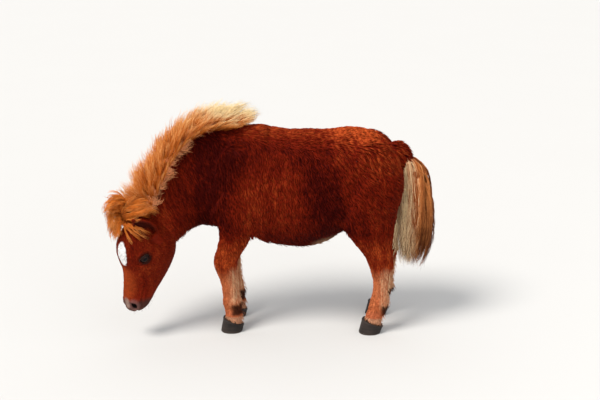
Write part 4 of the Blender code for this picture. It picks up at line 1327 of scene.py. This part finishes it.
def tail_material():
    """Cream at the front of the tail, orange behind it, and brown strands towards its end."""
    hair = chosen("foal_hair")
    shading = Shading("tail_hair")
    along = shading.reading("along")
    tint = shading.reading("tint")
    rear = shading.distance_along(on_body(0.372, 0.0, 0.0), (1.0, 0.25, 0.0)).between(-0.036, 0.044)
    low = shading.distance_along(ORIGIN, (0, 0, 1)).between(0.46, 0.26)
    colour = shading.mix(tint.between(0.1, 0.8), linear(146, 66, 22), linear(222, 140, 76))
    pale = tint * 1.05 + (1 - rear) * 0.90 - 0.94 + along * 0.10 - low * 0.08
    colour = shading.mix(pale.between(0.0, 0.62) * 0.94, colour, linear(255, 228, 180))
    dark = rear * 0.52 + low * 0.34 + (1 - tint) * 0.70 - 0.66
    colour = shading.mix(dark.between(0.0, 0.5) * 0.88, colour, hair.brown)
    return hair_surface(shading, shading.mix(along.between(0.26, 0.06) * 0.85, colour, linear(136, 52, 18)))


# Mane and forelock

# Along the crest from the withers to the poll: how far the hair reaches out of it, and its lean towards the
# poll at its root and at its tip
MANE_REACH = [
    (0.058, -1.00, -2.80),
    (0.088, -0.80, -2.10),
    (0.102, -0.55, -1.55),
    (0.108, -0.40, -1.25),
    (0.110, -0.25, -0.95),
    (0.118, -0.05, -0.45),
    (0.126, 0.25, 0.25),
]
# Along the crest: how far down the side the falling hair reaches, and its share of full thickness
FALL_REACH = [
    (0.012, 0.00),
    (0.015, 0.35),
    (0.028, 0.85),
    (0.043, 1.00),
    (0.044, 1.00),
    (0.032, 1.00),
    (0.030, 1.00),
]
MANE_STEPS = 8
FALL_STEPS = 11
LOCK_STEPS = 11
FALLING_LOCKS = 125
# The widest lean aside of the standing hair, in degrees
WIDEST_FAN = 62.0


def neck_section(share):
    """One section of the neck: its middle, and the ways up to the crest, to the left and along."""
    rows = [(*top, *bottom, width) for top, bottom, width in neck_rows()[1:]]
    here = through(rows, share)
    ahead = through(rows, min(share + 0.02, 1.0))
    behind = through(rows, max(share - 0.02, 0.0))
    along = Vector(ahead[0:3] - behind[0:3]).normalized()
    top = Vector(here[0:3])
    middle = (top + Vector(here[3:6])) / 2
    up = top - middle
    left = up.cross(along).normalized() * here[6]
    return middle, up, left, along


def on_neck(share, degrees, height):
    """A point above the neck's side, at an angle down from the crest that is positive to the left."""
    middle, up, left, _ = neck_section(share)
    angle = math.radians(degrees)
    out = (up.normalized() * math.cos(angle) + left.normalized() * math.sin(angle)).normalized()
    return middle + up * math.cos(angle) + left * math.sin(angle) + out * height


def standing_guides(rng, count):
    """Guides that stand out of the crest and sweep back along it towards their tips."""
    guides = []
    facings = []
    for i in range(count):
        share = (i + rng.uniform(0, 1)) / count
        _, up, left, along = neck_section(share)
        crest = on_neck(share, 0.0, 0.0)
        reach, lean, tip_lean = through(MANE_REACH, share)
        fan = max(-WIDEST_FAN, min(WIDEST_FAN, rng.normal(0, 30)))
        angle = math.radians(fan)
        rise = up.normalized() * math.cos(angle) + left.normalized() * math.sin(angle)
        drift = 0.16 * math.sin(share * 37 + fan * 0.09) + 0.10 * math.sin(share * 91 + fan * 0.21)
        lean += drift + rng.uniform(-0.12, 0.12)
        tip_lean += 2 * drift + rng.uniform(-0.20, 0.20)
        start = (rise + along * lean).normalized()
        sweep = (rise + along * tip_lean + DOWN * 0.12).normalized()
        rising = (start.dot(rise) + sweep.dot(rise)) / 2
        length = reach / rising * rng.uniform(0.62, 1.08) * (1 - 0.20 * abs(fan) / WIDEST_FAN)
        root = crest - up.normalized() * 0.016 + left.normalized() * (math.sin(angle) * 0.018)
        first = root + start * (0.016 + length * 0.34)
        second = first + (start + sweep).normalized() * (length * 0.34)
        guides.append((root, first, second, second + sweep * (length * 0.34)))
        facings.append(rise.cross(along))
    return smooth_guides(guides, facings, MANE_STEPS)


def falling_guides(rng, count, sign):
    """Guides that lie down one side of the neck. sign is 1 on its left and -1 on its right."""
    guides = []
    facings = []
    while len(guides) < count:
        share = rng.uniform(0.12, 1.0)
        reach, thickness = through(FALL_REACH, share)
        if rng.uniform(0, 1) > thickness:
            continue
        _, up, left, along = neck_section(share)
        reach *= rng.uniform(0.40, 1.25)
        end = math.degrees(math.acos(max(1 - reach / up.length, -1.0)))
        back = -along
        sway = rng.uniform(-0.012, 0.014)
        root = on_neck(share, sign * rng.uniform(0, 12), -0.012)
        crown = on_neck(share, sign * max(end * 0.40, 14), rng.uniform(0.014, 0.030)) + back * 0.008
        side = on_neck(share, sign * end * 0.78, rng.uniform(0.012, 0.022)) + back * (0.026 + sway)
        tip = on_neck(share, sign * end, rng.uniform(0.003, 0.012)) + back * (0.056 + 2 * sway)
        guides.append((root, crown, side, tip))
        facings.append(left.normalized() * sign)
    return smooth_guides(guides, facings, FALL_STEPS)


# Locks of the head from root to tip, in millimetres below the poll, in front of it and to its left

# Forwards over the right ear
POLL_LOCKS = [
    ((0, 30, 4), (-53, 70, 8), (-71, 90, 4), (-72, 109, -4), (-60, 118, -12), (-38, 117, -18)),
    ((-6, 20, 4), (-65, 63, 8), (-87, 85, 6), (-89, 103, 0), (-77, 114, -8), (-59, 117, -14)),
    ((2, 34, 2), (-40, 76, 4), (-53, 93, 0), (-48, 105, -8), (-31, 111, -16), (-8, 107, -22)),
    ((-2, 24, 8), (-59, 59, 14), (-77, 86, 18), (-74, 106, 14), (-59, 117, 6), (-38, 116, -2)),
    ((2, 30, -8), (-41, 69, -10), (-54, 87, -22), (-44, 100, -34), (-25, 101, -44), (-2, 96, -50)),
]
# Backwards above the left ear
EAR_LOCKS = [
    (
        (4, 40, 10), (-26, 78, 14), (-37, 63, 34), (-47, 45, 60), (-54, 14, 70), (-44, -12, 68),
        (-25, -33, 64),
    ),
    ((6, 40, 12), (-18, 75, 14), (-31, 57, 44), (-43, 39, 70), (-44, 10, 75), (-22, -22, 68)),
    (
        (4, 40, 8), (-36, 80, 12), (-56, 65, 34), (-63, 42, 50), (-63, 14, 58), (-52, -11, 60),
        (-34, -30, 56),
    ),
    ((0, 30, 6), (-47, 69, 12), (-68, 51, 28), (-76, 28, 40), (-75, 4, 48), (-61, -17, 48)),
    ((0, 34, 4), (-42, 82, 10), (-63, 75, 18), (-81, 56, 24), (-89, 33, 30), (-83, 11, 34)),
]
# Across the front of the left ear
STREAKS = [
    ((4, 40, 12), (-9, 75, 30), (-4, 65, 54), (6, 44, 68), (24, 20, 76), (47, -4, 72)),
    ((4, 44, 12), (-9, 81, 26), (3, 69, 48), (16, 52, 62), (36, 25, 70), (55, 2, 70)),
    ((6, 44, 10), (0, 78, 22), (16, 67, 42), (30, 50, 56), (46, 28, 63), (61, 8, 62)),
]
# Thin ones over the forehead and the left ear's opening
CHEEK_LOCKS = [
    ((6, 44, 10), (-14, 84, 18), (14, 79, 30), (40, 73, 38), (63, 64, 46), (80, 57, 51)),
    ((4, 40, 12), (-24, 80, 40), (-29, 66, 70), (-27, 44, 82), (-19, 22, 82)),
]
# The forelock, over the right side of the forehead
FORELOCK = [
    (
        (4, 40, -4), (-30, 72, -5), (-33, 90, -12), (-14, 99, -20), (15, 102, -28), (49, 95, -36),
        (77, 84, -42),
    ),
    (
        (6, 40, -2), (-24, 74, -2), (-22, 87, -8), (-4, 94, -14), (25, 97, -22), (55, 94, -28),
        (78, 86, -32),
    ),
    ((8, 40, 0), (-17, 72, 0), (-12, 83, -3), (5, 90, -8), (31, 94, -14), (56, 95, -18)),
    (
        (4, 36, -8), (-35, 73, -10), (-38, 91, -20), (-22, 101, -30), (3, 103, -36), (33, 98, -42),
        (56, 92, -46),
    ),
    ((8, 44, 4), (-18, 74, 4), (-10, 83, 2), (8, 88, 0), (26, 92, -4)),
    ((10, 46, 6), (-17, 78, 6), (6, 86, 6), (29, 91, 4), (46, 96, 2)),
    ((10, 44, -4), (-17, 78, -4), (6, 87, -6), (30, 92, -8), (54, 95, -10)),
    ((8, 40, -6), (-19, 74, -6), (3, 89, -12), (28, 94, -16), (52, 96, -18), (68, 92, -20)),
]


def head_guides(rng, locks, copies, facing, stray):
    """Copies of each lock's route over the head, further apart towards their tips."""
    guides = []
    shares = np.linspace(0, 1, 7)
    for points in locks:
        route = np.array(points) / 1000
        for _ in range(copies):
            shift = rng.normal(0, stray, 3)
            reach = rng.uniform(0.68, 1.0)
            places = [through(route, share * reach) + shift * (0.2 + 1.1 * share) for share in shares]
            guides.append([on_head(*place) for place in places])
    return curves_through(np.array(guides, float), LOCK_STEPS), np.array(facing)[None, None, :]


def grown_piece(name, rng, guides, facing, material, count, strand, **clump):
    facing = np.broadcast_to(facing, (guides.shape[0], 1, 3))
    paths, lift = clumped(guides, facing, rng, count, **clump)
    widths = strand * rng.uniform(0.65, 1.30, len(paths))
    lock_tint = np.repeat(rng.uniform(0, 1, guides.shape[0]), count)
    tints = np.clip(lock_tint * 0.55 + rng.uniform(0, 1, len(paths)) * 0.45, 0, 1)
    return strand_piece(name, paths, lift, widths, tints, material)


class FOAL_OT_mane(bpy.types.Operator):
    """Grows the standing mane and the locks that fall down both sides of the neck"""

    bl_idname = "foal.mane"
    bl_label = "Mane"

    def execute(self, context):
        hair = chosen("foal_hair")
        rng = np.random.default_rng(SEED)
        material = hair_material("mane_hair", hair.tip)
        standing, facing = standing_guides(rng, hair.mane_locks)
        half = len(standing) // 2
        halves = {"mane_withers": slice(0, half), "mane_poll": slice(half, None)}
        for name, part in halves.items():
            grown_piece(
                name, rng, standing[part], facing[part], material, 14, hair.strand,
                root=0.009, tip=0.0066, wave=0.0040, turns=0.9, frizz=0.0032, short=0.35,
            )
        fringe = hair_material("fringe_hair", linear(255, 184, 132), pale=0.90, early=0.36, spread=0.45)
        for name, sign in (("mane_left", 1), ("mane_right", -1)):
            guides, facing = falling_guides(rng, FALLING_LOCKS, sign)
            grown_piece(
                name, rng, guides, facing, fringe, 8, hair.strand,
                root=0.005, tip=0.0007, wave=0.0072, turns=1.25, frizz=0.0018, short=0.40,
            )
        return {"FINISHED"}


class FOAL_OT_forelock(bpy.types.Operator):
    """Grows the forelock and the locks over the ears"""

    bl_idname = "foal.forelock"
    bl_label = "Forelock"

    def execute(self, context):
        hair = chosen("foal_hair")
        rng = np.random.default_rng(SEED + 1)
        material = hair_material("forelock_hair", hair.tip, pale=0.6)
        # Name, routes, copies, strands, facing, how far the copies stray, and the width at the tip
        pieces = [
            ("forelock", FORELOCK, 9, 15, FACE, 0.0050, 0.0070),
            ("poll_locks", POLL_LOCKS, 14, 15, -DOWN, 0.0085, 0.0085),
            ("ear_locks", EAR_LOCKS, 7, 9, LEFT, 0.0044, 0.0012),
            ("streak_locks", STREAKS, 3, 9, LEFT, 0.0034, 0.0014),
            ("cheek_locks", CHEEK_LOCKS, 1, 12, LEFT, 0.0006, 0.0004),
        ]
        for name, locks, copies, strands, facing, stray, tip in pieces:
            guides, facing = head_guides(rng, locks, copies, facing, stray)
            grown_piece(
                name, rng, guides, facing, material, strands, hair.strand,
                root=0.0024, tip=tip, wave=0.0036, turns=1.6, frizz=0.0014, short=0.30,
            )
        return {"FINISHED"}


# Tail

TAIL_END = 0.190
TAIL_STEPS = 15


def tail_guides(rng, count):
    """Guides rooted all round the dock, which spread to the rear and the sides and hang nearly straight."""
    guides = []
    facings = []
    for i in range(count):
        share = 0.02 + 0.96 * (i + rng.uniform(0, 1)) / count
        x, y, z, width = through(DOCK[1:], share)
        angle = rng.uniform(-math.pi, math.pi)
        if share < 0.35:
            angle *= 0.72
        spread = Vector((math.cos(angle), math.sin(angle), 0.0))
        middle = on_body(x, y, z)
        bulge = 0.032 + 0.020 * (1 - share) + 0.012 * math.cos(angle) + rng.uniform(-0.012, 0.005)
        fall = (z - TAIL_END) * rng.uniform(0.80, 1.0) - 0.05 * (1 - share) * rng.uniform(0.0, 1.0)
        root = middle + spread * (width * 0.4)
        shoulder = middle + spread * bulge + DOWN * 0.034
        near = 0.012 * max(-spread.x, 0.0)
        hip = middle + spread * (bulge * 1.18) + DOWN * (fall * 0.50) + Vector((0.002 - near, 0, 0))
        knee = middle + spread * (bulge * 1.05) + DOWN * (fall * 0.78) + Vector((0.001 - near * 1.5, 0, 0))
        stray = Vector((rng.uniform(-0.012, 0.008) - near * 1.5, 0, 0))
        tip = middle + spread * (bulge * 0.62) + DOWN * fall + stray
        guides.append((root, shoulder, hip, knee, tip))
        facings.append(spread)
    return smooth_guides(guides, facings, TAIL_STEPS)


class FOAL_OT_tail(bpy.types.Operator):
    """Grows the tail's long hair round its dock"""

    bl_idname = "foal.tail"
    bl_label = "Tail"

    def execute(self, context):
        hair = chosen("foal_hair")
        rng = np.random.default_rng(SEED + 2)
        material = tail_material()
        guides, facing = tail_guides(rng, hair.tail_locks)
        half = len(guides) // 2
        halves = {"tail_upper": slice(0, half), "tail_lower": slice(half, None)}
        for name, part in halves.items():
            piece = grown_piece(
                name, rng, guides[part], facing[part], material, 18, hair.strand,
                root=0.006, tip=0.0045, wave=0.0072, turns=4.2, frizz=0.0026, short=0.35,
            )
            if name == "tail_upper":
                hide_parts("tail")
        return {"FINISHED"}


# Ears

EAR_HAIRS = 1100


class FOAL_OT_ears(bpy.types.Operator):
    """Makes both ears, with short hair on their backs and in their cups"""

    bl_idname = "foal.ears"
    bl_label = "Ears"

    def execute(self, context):
        rng = np.random.default_rng(SEED + 3)
        material = coat_material("ear_coat", False, shaded_cup=True)
        hair = coat_material("ear_hair", True)
        for side in SIDES:
            ear = merged_copy(f"ear_{side}", f"ear_skin_{side}")
            finer = ear.modifiers.new("finer", "SUBSURF")
            finer.levels = 2
            finer.render_levels = 2
            settled(ear)
            root, axis, opens = ear_frame(ear, side)
            high = (points_of(ear.data) - root) @ axis
            # How far inside the cup a point lies, where the ear's material paints shade
            cup = ease(normals_of(ear.data) @ opens, 0.10, 0.60) * ease(high, 0.010, 0.035)
            set_attribute(ear.data, "cup", cup)
            finished(ear, material, "coat", f"ear_{side}")
            ear_hair(rng, ear, side, hair)
        return {"FINISHED"}


def ear_frame(ear, side):
    """The ear's root, the way to its tip and the way it opens."""
    points = points_of(ear.data)
    reach = np.linalg.norm(points - np.array(on_head(*EAR_ROOT[:2], EAR_ROOT[2] * SIDES[side])), axis=1)
    tip = points[reach.argmax()]
    root = points[reach < 0.030].mean(axis=0)
    axis = unit(tip - root)
    opens = np.array(DOWN * 0.30 + FACE * 0.45 + LEFT * (0.84 * SIDES[side]))
    return root, axis, unit(opens - axis * (opens @ axis))


def ear_hair(rng, ear, side, material):
    """Short hair over the ear's back, and some that is longer in its cup."""
    root, axis, opens = ear_frame(ear, side)
    points = points_of(ear.data)
    normals = normals_of(ear.data)
    picked = rng.choice(len(points), EAR_HAIRS)
    roots = points[picked]
    out = normals[picked]
    inner = (out @ opens > 0.30)[:, None]
    lean = np.where(inner, axis * 0.9 + opens * 0.25, axis + out * 0.10)
    way = unit(lean + rng.normal(0, 0.16, (len(picked), 3)))
    high = np.clip((roots - root) @ axis / 0.10, 0, 1)
    long_hair = rng.uniform(0.006, 0.013, len(picked))
    short_hair = rng.uniform(0.006, 0.010, len(picked))
    length = np.where(inner[:, 0], long_hair, short_hair)
    length *= 1 - 0.5 * high
    length[inner[:, 0] & (rng.uniform(0, 1, len(picked)) < 0.7)] *= 0.4
    first = roots - out * 0.001
    second = roots + (out * 0.22 + way) * (length * 0.4)[:, None]
    third = roots + (out * 0.18 + way) * length[:, None]
    paths = curves_through(np.stack((first, second, third), axis=1), 5)
    widths = np.where(inner[:, 0], 0.0009, 0.0014) * rng.uniform(0.7, 1.2, len(picked))
    tints = rng.uniform(0.1, 0.9, len(picked))
    strand_piece(f"ear_hair_{side}", paths, out[:, None, :], widths, tints, material, "coat")


# Feather, whiskers and other loose hair of the coat


class FOAL_OT_feather(bpy.types.Operator):
    """Grows the longer hair behind the cannons, under the jaw and belly, and the whiskers"""

    bl_idname = "foal.feather"
    bl_label = "Feather and whiskers"

    def execute(self, context):
        rng = np.random.default_rng(SEED + 4)
        mesh = bpy.data.objects[SKIN].data
        points = points_of(mesh)
        normals = normals_of(mesh)
        lie = np.empty(len(points) * 3, np.float32)
        mesh.attributes["lie"].data.foreach_get("vector", lie)
        lie = lie.reshape(-1, 3)
        place = body_places(points)
        on_face = head_places(points)
        head = head_share(points)
        x, z = place[:, 0], place[:, 2]
        cannon = (normals[:, 0] > 0.35) & (z > 0.050) & (z < 0.225) & (x > -0.30)
        throat = (x < -0.33) & (head < 0.9) & (on_face[:, 1] < -0.070) & (normals[:, 2] < 0.2)
        chest = (x < -0.24) & (x > -0.33) & (z > 0.34) & (z < 0.42) & (normals[:, 2] < -0.2)
        belly = (normals[:, 2] < -0.55) & (x > -0.16) & (x < 0.16) & (z > 0.28)
        haunch = (x > 0.24) & (z > 0.33) & (z < 0.56) & (normals[:, 0] > 0.45)
        chin = (head > 0.9) & (on_face[:, 0] > 0.262) & (on_face[:, 1] < 0.060)
        material = coat_material("feather_coat", True)
        # Name, where it grows, strands, length, width, and how far it stands out
        tufts = [
            ("feather", cannon, 1300, 0.024, 0.0016, 0.35),
            ("jaw_hair", throat | chest, 700, 0.020, 0.0015, 0.35),
            ("belly_hair", belly | haunch, 900, 0.024, 0.0018, 0.25),
            ("whiskers", chin, 36, 0.022, 0.0004, 1.60),
        ]
        for name, where, count, length, width, stand in tufts:
            picked = rng.choice(np.flatnonzero(where), count)
            out = normals[picked]
            reach = length * rng.uniform(0.6, 1.15, count)[:, None]
            way = unit(lie[picked] + rng.normal(0, 0.18, (count, 3)) + out * stand)
            hang = unit(way + lie[picked] * 0.7)
            first = points[picked] - out * 0.003
            second = points[picked] + way * reach * 0.45
            third = second + hang * reach * 0.55
            paths = curves_through(np.stack((first, second, third), axis=1), 5)
            widths = width * rng.uniform(0.7, 1.2, count)
            strand_piece(name, paths, out[:, None, :], widths, rng.uniform(0.2, 0.9, count), material, "coat")
        return {"FINISHED"}


# Eyes

LASHES = 46


def eye_material(name, centre, looks, along, across):
    eye = chosen("foal_eye")
    shading = Shading(name)
    u = shading.distance_along(centre, along)
    v = shading.distance_along(centre, across)
    pupil = ((u / 0.0072) ** 2 + (v / 0.0042) ** 2).between(1.25, 0.80)
    disc = (u * u + v * v) ** 0.5
    rays = shading.noise(700.0, detail=2.0)
    iris = shading.mix(rays.between(0.3, 0.8), eye.iris, linear(36, 18, 13))
    colour = shading.mix(disc.between(0.0105, 0.0130), iris, linear(20, 10, 9))
    colour = shading.mix(pupil, colour, (0.002, 0.002, 0.003))
    return shading.surface(Base_Color=colour, Roughness=0.10, IOR=1.38, Specular_IOR_Level=0.14)


def eyeball(side):
    """The eyeball, whose cornea stands a little proud of it."""
    centre = EYES[side]
    looks, along, across = eye_axes(side)
    ball = ellipsoid(f"eyeball_{side}", centre, (EYE_RADIUS,) * 3, rings=48, sides=64)
    points = points_of(ball.data)
    way = unit(points - np.array(centre))
    dome = ease(way @ np.array(looks), 0.78, 1.0)
    set_points(ball.data, points + way * (dome * 0.0008)[:, None])
    material = eye_material(f"eye_{side}_gloss", centre, looks, along, across)
    return finished(ball, material, "eye", f"eye_{side}")


def lid_rings(side):
    """Both lids' rims, an almond ring that lies on the eyeball with a soft fold outside it."""
    centre = EYES[side]
    looks, along, across = eye_axes(side)
    count = 64
    rings = 14
    vertices = []
    for i in range(count):
        angle = 2 * math.pi * i / count
        c = math.cos(angle)
        s = math.sin(angle)
        rim = along * (c * OPENING_LENGTH / 2) + across * (s * (1 - 0.22 * c * c) * OPENING_HEIGHT / 2)
        out = rim.normalized()
        upper = s < 0
        wide = 0.0036 + (0.0014 * abs(s) if upper else 0.0)
        tall = 0.0021 + (0.0008 * abs(s) if upper else 0.0)
        middle = rim + out * wide * 0.55
        depth = math.sqrt(max((EYE_RADIUS + 0.0004) ** 2 - middle.length_squared, 0.0))
        for k in range(rings):
            turn = 2 * math.pi * k / rings
            fold = out * (math.cos(turn) * wide) + looks * (math.sin(turn) * tall)
            vertices.append(centre + middle + looks * depth + fold)
    faces = []
    for i in range(count):
        j = (i + 1) % count
        for k in range(rings):
            m = (k + 1) % rings
            faces.append((i * rings + k, i * rings + m, j * rings + m, j * rings + k))
    mesh = bpy.data.meshes.new(f"lids_{side}")
    mesh.from_pydata([tuple(v) for v in vertices], [], faces)
    lids = face_outwards(link(f"lids_{side}", mesh))
    shading = Shading(f"lid_{side}")
    eye = chosen("foal_eye")
    colour = shading.mix(shading.noise(300.0).between(0.3, 0.7), eye.lid, linear(52, 18, 10))
    creases = shading.bump(shading.noise(500.0, detail=3.0), 0.0004, 0.6)
    material = shading.surface(Base_Color=colour, Roughness=0.62, Normal=creases, Specular_IOR_Level=0.05)
    return finished(lids, material, "coat")


def lashes(side, rng, material):
    """Lashes along the upper lid's rim, which point out and down."""
    centre = EYES[side]
    looks, along, across = eye_axes(side)
    up = -across if across.z < 0 else across
    guides = []
    for i in range(LASHES):
        share = (i + 0.5) / LASHES
        angle = math.radians(20 + 140 * share)
        rim = along * (math.cos(angle) * OPENING_LENGTH * 0.51)
        rim = rim + up * (math.sin(angle) * OPENING_HEIGHT * 0.55)
        depth = math.sqrt(max((EYE_RADIUS + 0.002) ** 2 - rim.length_squared, 0.0))
        root = centre + rim + looks * depth
        way = (looks + up * 0.15 + along * (0.4 * math.cos(angle))).normalized()
        reach = 0.009 * rng.uniform(0.7, 1.1)
        guides.append((root - way * 0.001, root + way * reach * 0.5, root + (way + DOWN * 0.35) * reach))
    paths = curves_through(np.array(guides, float), 6)
    facing = np.array(up)[None, None, :]
    widths = np.full(LASHES, 0.0005)
    strand_piece(f"lashes_{side}", paths, facing, widths, np.full(LASHES, 0.1), material, "coat")


class FOAL_OT_eyes(bpy.types.Operator):
    """Makes both eyes with their lids and lashes"""

    bl_idname = "foal.eyes"
    bl_label = "Eyes"

    def execute(self, context):
        rng = np.random.default_rng(SEED + 5)
        shading = Shading("lash")
        black = shading.mix(shading.reading("along"), linear(20, 12, 10), linear(52, 30, 22))
        material = shading.surface(Base_Color=black, Roughness=0.5)
        for side in SIDES:
            eyeball(side)
            lid_rings(side)
            lashes(side, rng, material)
        return {"FINISHED"}


# Hooves

HOOF_SIDES = 56
HOOF_RINGS = 26
COUNTER_RINGS = 9


def hoof_outline(points, low, high):
    """The lowest and the highest corner of a hoof's points between two heights."""
    level = points[(points[:, 2] >= low) & (points[:, 2] <= high)]
    return level.min(axis=0), level.max(axis=0)


def hoof_material():
    hoof = chosen("foal_hoof")
    shading = Shading("horn")
    height = shading.distance_along((0, 0, 0), (0, 0, 1))
    wear = shading.noise(22.0, detail=4.0)
    rings = shading.noise(1.0, detail=2.0, stretch=(6.0, 6.0, 420.0))
    grain = shading.noise(900.0, detail=2.0, stretch=(1.0, 1.0, 0.08))
    colour = shading.mix(wear.between(0.25, 0.75), hoof.horn, linear(48, 39, 35))
    colour = shading.mix(grain.between(0.45, 0.75) * 0.35, colour, linear(18, 15, 14))
    colour = shading.mix(rings.between(0.45, 0.65) * 0.35, colour, linear(66, 54, 46))
    colour = shading.mix((height + wear * 0.006).between(0.012, 0.002) * 0.45, colour, linear(74, 60, 50))
    normal = shading.bump(rings + grain * 0.4, 0.0008, 0.6)
    rough = 0.42 + 0.25 * wear
    return shading.surface(Base_Color=colour, Roughness=rough, Normal=normal, Specular_IOR_Level=0.22)


def hoof_piece(node, material):
    """A hoof between the same ground line and slanted coronet as the solid, with its growth rings."""
    hoof = chosen("foal_hoof")
    points = points_of(frame["nodes"][node].data)
    ground_low, ground_high = hoof_outline(points, -0.001, 0.004)
    top = points[points[:, 2] > 0.020]
    toe_top = top[top[:, 2].argmax()]
    heel_top = top[top[:, 0].argmax()]
    middle_y = (ground_low[1] + ground_high[1]) / 2
    front = Vector((toe_top[0], middle_y, toe_top[2]))
    rear = Vector((heel_top[0], middle_y, heel_top[2]))
    toe = Vector((ground_low[0], middle_y, 0.0))
    heel = Vector((ground_high[0], middle_y, 0.0))
    wide = (ground_high[1] - ground_low[1]) / 2
    narrow = (top[:, 1].max() - top[:, 1].min()) / 2
    vertices = []
    for i in range(HOOF_RINGS):
        share = i / (HOOF_RINGS - 1)
        fore = toe.lerp(front, share)
        back = heel.lerp(rear, share)
        ring = 1 + hoof.ring / wide * math.sin(share * math.pi * 2 * COUNTER_RINGS)
        band = 1 + 0.030 * math.exp(-(((share - 0.93) / 0.05) ** 2))
        edge = 1 - 0.03 * math.exp(-((share / 0.03) ** 2))
        size = ring * band * edge
        half_width = (wide + (narrow - wide) * share) * size
        half_length = (back - fore) / 2 * size
        centre = (fore + back) / 2
        for k in range(HOOF_SIDES):
            angle = 2 * math.pi * k / HOOF_SIDES
            c = math.copysign(abs(math.cos(angle)) ** 0.91, math.cos(angle))
            s = math.copysign(abs(math.sin(angle)) ** 0.91, math.sin(angle))
            heel_pinch = 1 - 0.10 * max(c, 0.0) ** 3
            point = centre + half_length * c + Vector((0, half_width * s * heel_pinch, 0))
            vertices.append((point.x, point.y, max(point.z, 0.0)))
    horn = tube(node + "_horn", vertices, HOOF_RINGS, HOOF_SIDES)
    finished(horn, material, "hoof", node)
    horn.data.set_sharp_from_angle(angle=math.radians(50))


class FOAL_OT_hooves(bpy.types.Operator):
    """Makes the four hooves"""

    bl_idname = "foal.hooves"
    bl_label = "Hooves"

    def execute(self, context):
        material = hoof_material()
        for pair in ("fore", "hind"):
            for side in SIDES:
                hoof_piece(f"hoof_{pair}_{side}", material)
        return {"FINISHED"}


# Stage

CAMERA_PLACE = (0.0, -3.730, 1.582)
CAMERA_TARGET = (0.0, 0.0, 0.442)
CAMERA_LENS = 69.85
SENSOR = 36.0
KEY_PLACE = (-1.5, -1.3, 3.0)
FILL_PLACE = (1.4, -3.4, 1.6)
LIT_PLACE = (0.0, 0.0, 0.40)


def aimed(obj, place, target):
    obj.location = place
    obj.rotation_euler = (Vector(target) - Vector(place)).to_track_quat("-Z", "Y").to_euler()


def lamp(name, kind, place, power, colour):
    light = bpy.data.lights.new(name, kind)
    light.energy = power
    light.color = colour
    aimed(link(name, light), on_body(*place), on_body(*LIT_PLACE))
    return light


class FOAL_OT_stage(bpy.types.Operator):
    """Makes the floor, the lights and the camera"""

    bl_idname = "foal.stage"
    bl_label = "Stage"

    def execute(self, context):
        stage = chosen("foal_stage")
        shape = bmesh.new()
        bmesh.ops.create_circle(shape, cap_ends=True, segments=96, radius=40.0)
        floor = linked_shape("floor", shape)
        shading = Shading("floor_paint")
        cloud = shading.noise(2.0, detail=4.0)
        paint = shading.mix(cloud * 0.25, stage.floor, [c * 0.94 for c in stage.floor])
        floor.data.materials.append(shading.surface(Base_Color=paint, Roughness=0.9))
        key = lamp("key", "SUN", KEY_PLACE, stage.key, (1.0, 0.97, 0.93))
        key.angle = math.radians(24)
        fill = lamp("fill", "AREA", FILL_PLACE, stage.fill, (0.94, 0.97, 1.0))
        fill.shape = "DISK"
        fill.size = 2.6
        world = bpy.data.worlds.new("studio")
        world.use_nodes = True
        sky = world.node_tree.nodes["Background"]
        sky.inputs["Color"].default_value = (0.95, 0.97, 1.0, 1.0)
        sky.inputs["Strength"].default_value = stage.sky
        context.scene.world = world
        context.scene.view_settings.view_transform = "Standard"
        camera = bpy.data.cameras.new("camera")
        camera.lens = CAMERA_LENS
        camera.sensor_width = SENSOR
        eye = link("camera", camera)
        aimed(eye, on_body(*CAMERA_PLACE), on_body(*CAMERA_TARGET))
        context.scene.camera = eye
        return {"FINISHED"}


OPERATORS = (
    FOAL_OT_skin,
    FOAL_OT_coat,
    FOAL_OT_ears,
    FOAL_OT_mane,
    FOAL_OT_forelock,
    FOAL_OT_tail,
    FOAL_OT_feather,
    FOAL_OT_eyes,
    FOAL_OT_hooves,
    FOAL_OT_stage,
)


class FOAL_PT_panel(bpy.types.Panel):
    """Lists the foal's pieces and their sizes"""

    bl_idname = "FOAL_PT_panel"
    bl_label = "Shetland Pony Foal"
    bl_space_type = "VIEW_3D"
    bl_region_type = "UI"
    bl_category = "Foal"

    def draw(self, context):
        for operator in OPERATORS:
            self.layout.operator(operator.bl_idname)
        for name, group in GROUPS.items():
            box = self.layout.box()
            box.label(text=group.__name__)
            for key in group.__annotations__:
                box.prop(getattr(context.scene, name), key)


CLASSES = (*GROUPS.values(), *OPERATORS, FOAL_PT_panel)


def register():
    for each in CLASSES:
        bpy.utils.register_class(each)
    for name, group in GROUPS.items():
        setattr(bpy.types.Scene, name, PointerProperty(type=group))


def unregister():
    for name in GROUPS:
        delattr(bpy.types.Scene, name)
    for each in reversed(CLASSES):
        bpy.utils.unregister_class(each)


def main():
    register()
    bpy.ops.foal.skin()
    bpy.ops.foal.coat()
    bpy.ops.foal.ears()
    bpy.ops.foal.mane()
    bpy.ops.foal.forelock()
    bpy.ops.foal.tail()
    bpy.ops.foal.feather()
    bpy.ops.foal.eyes()
    bpy.ops.foal.hooves()
    bpy.ops.foal.stage()


if __name__ == "__main__":
    main()
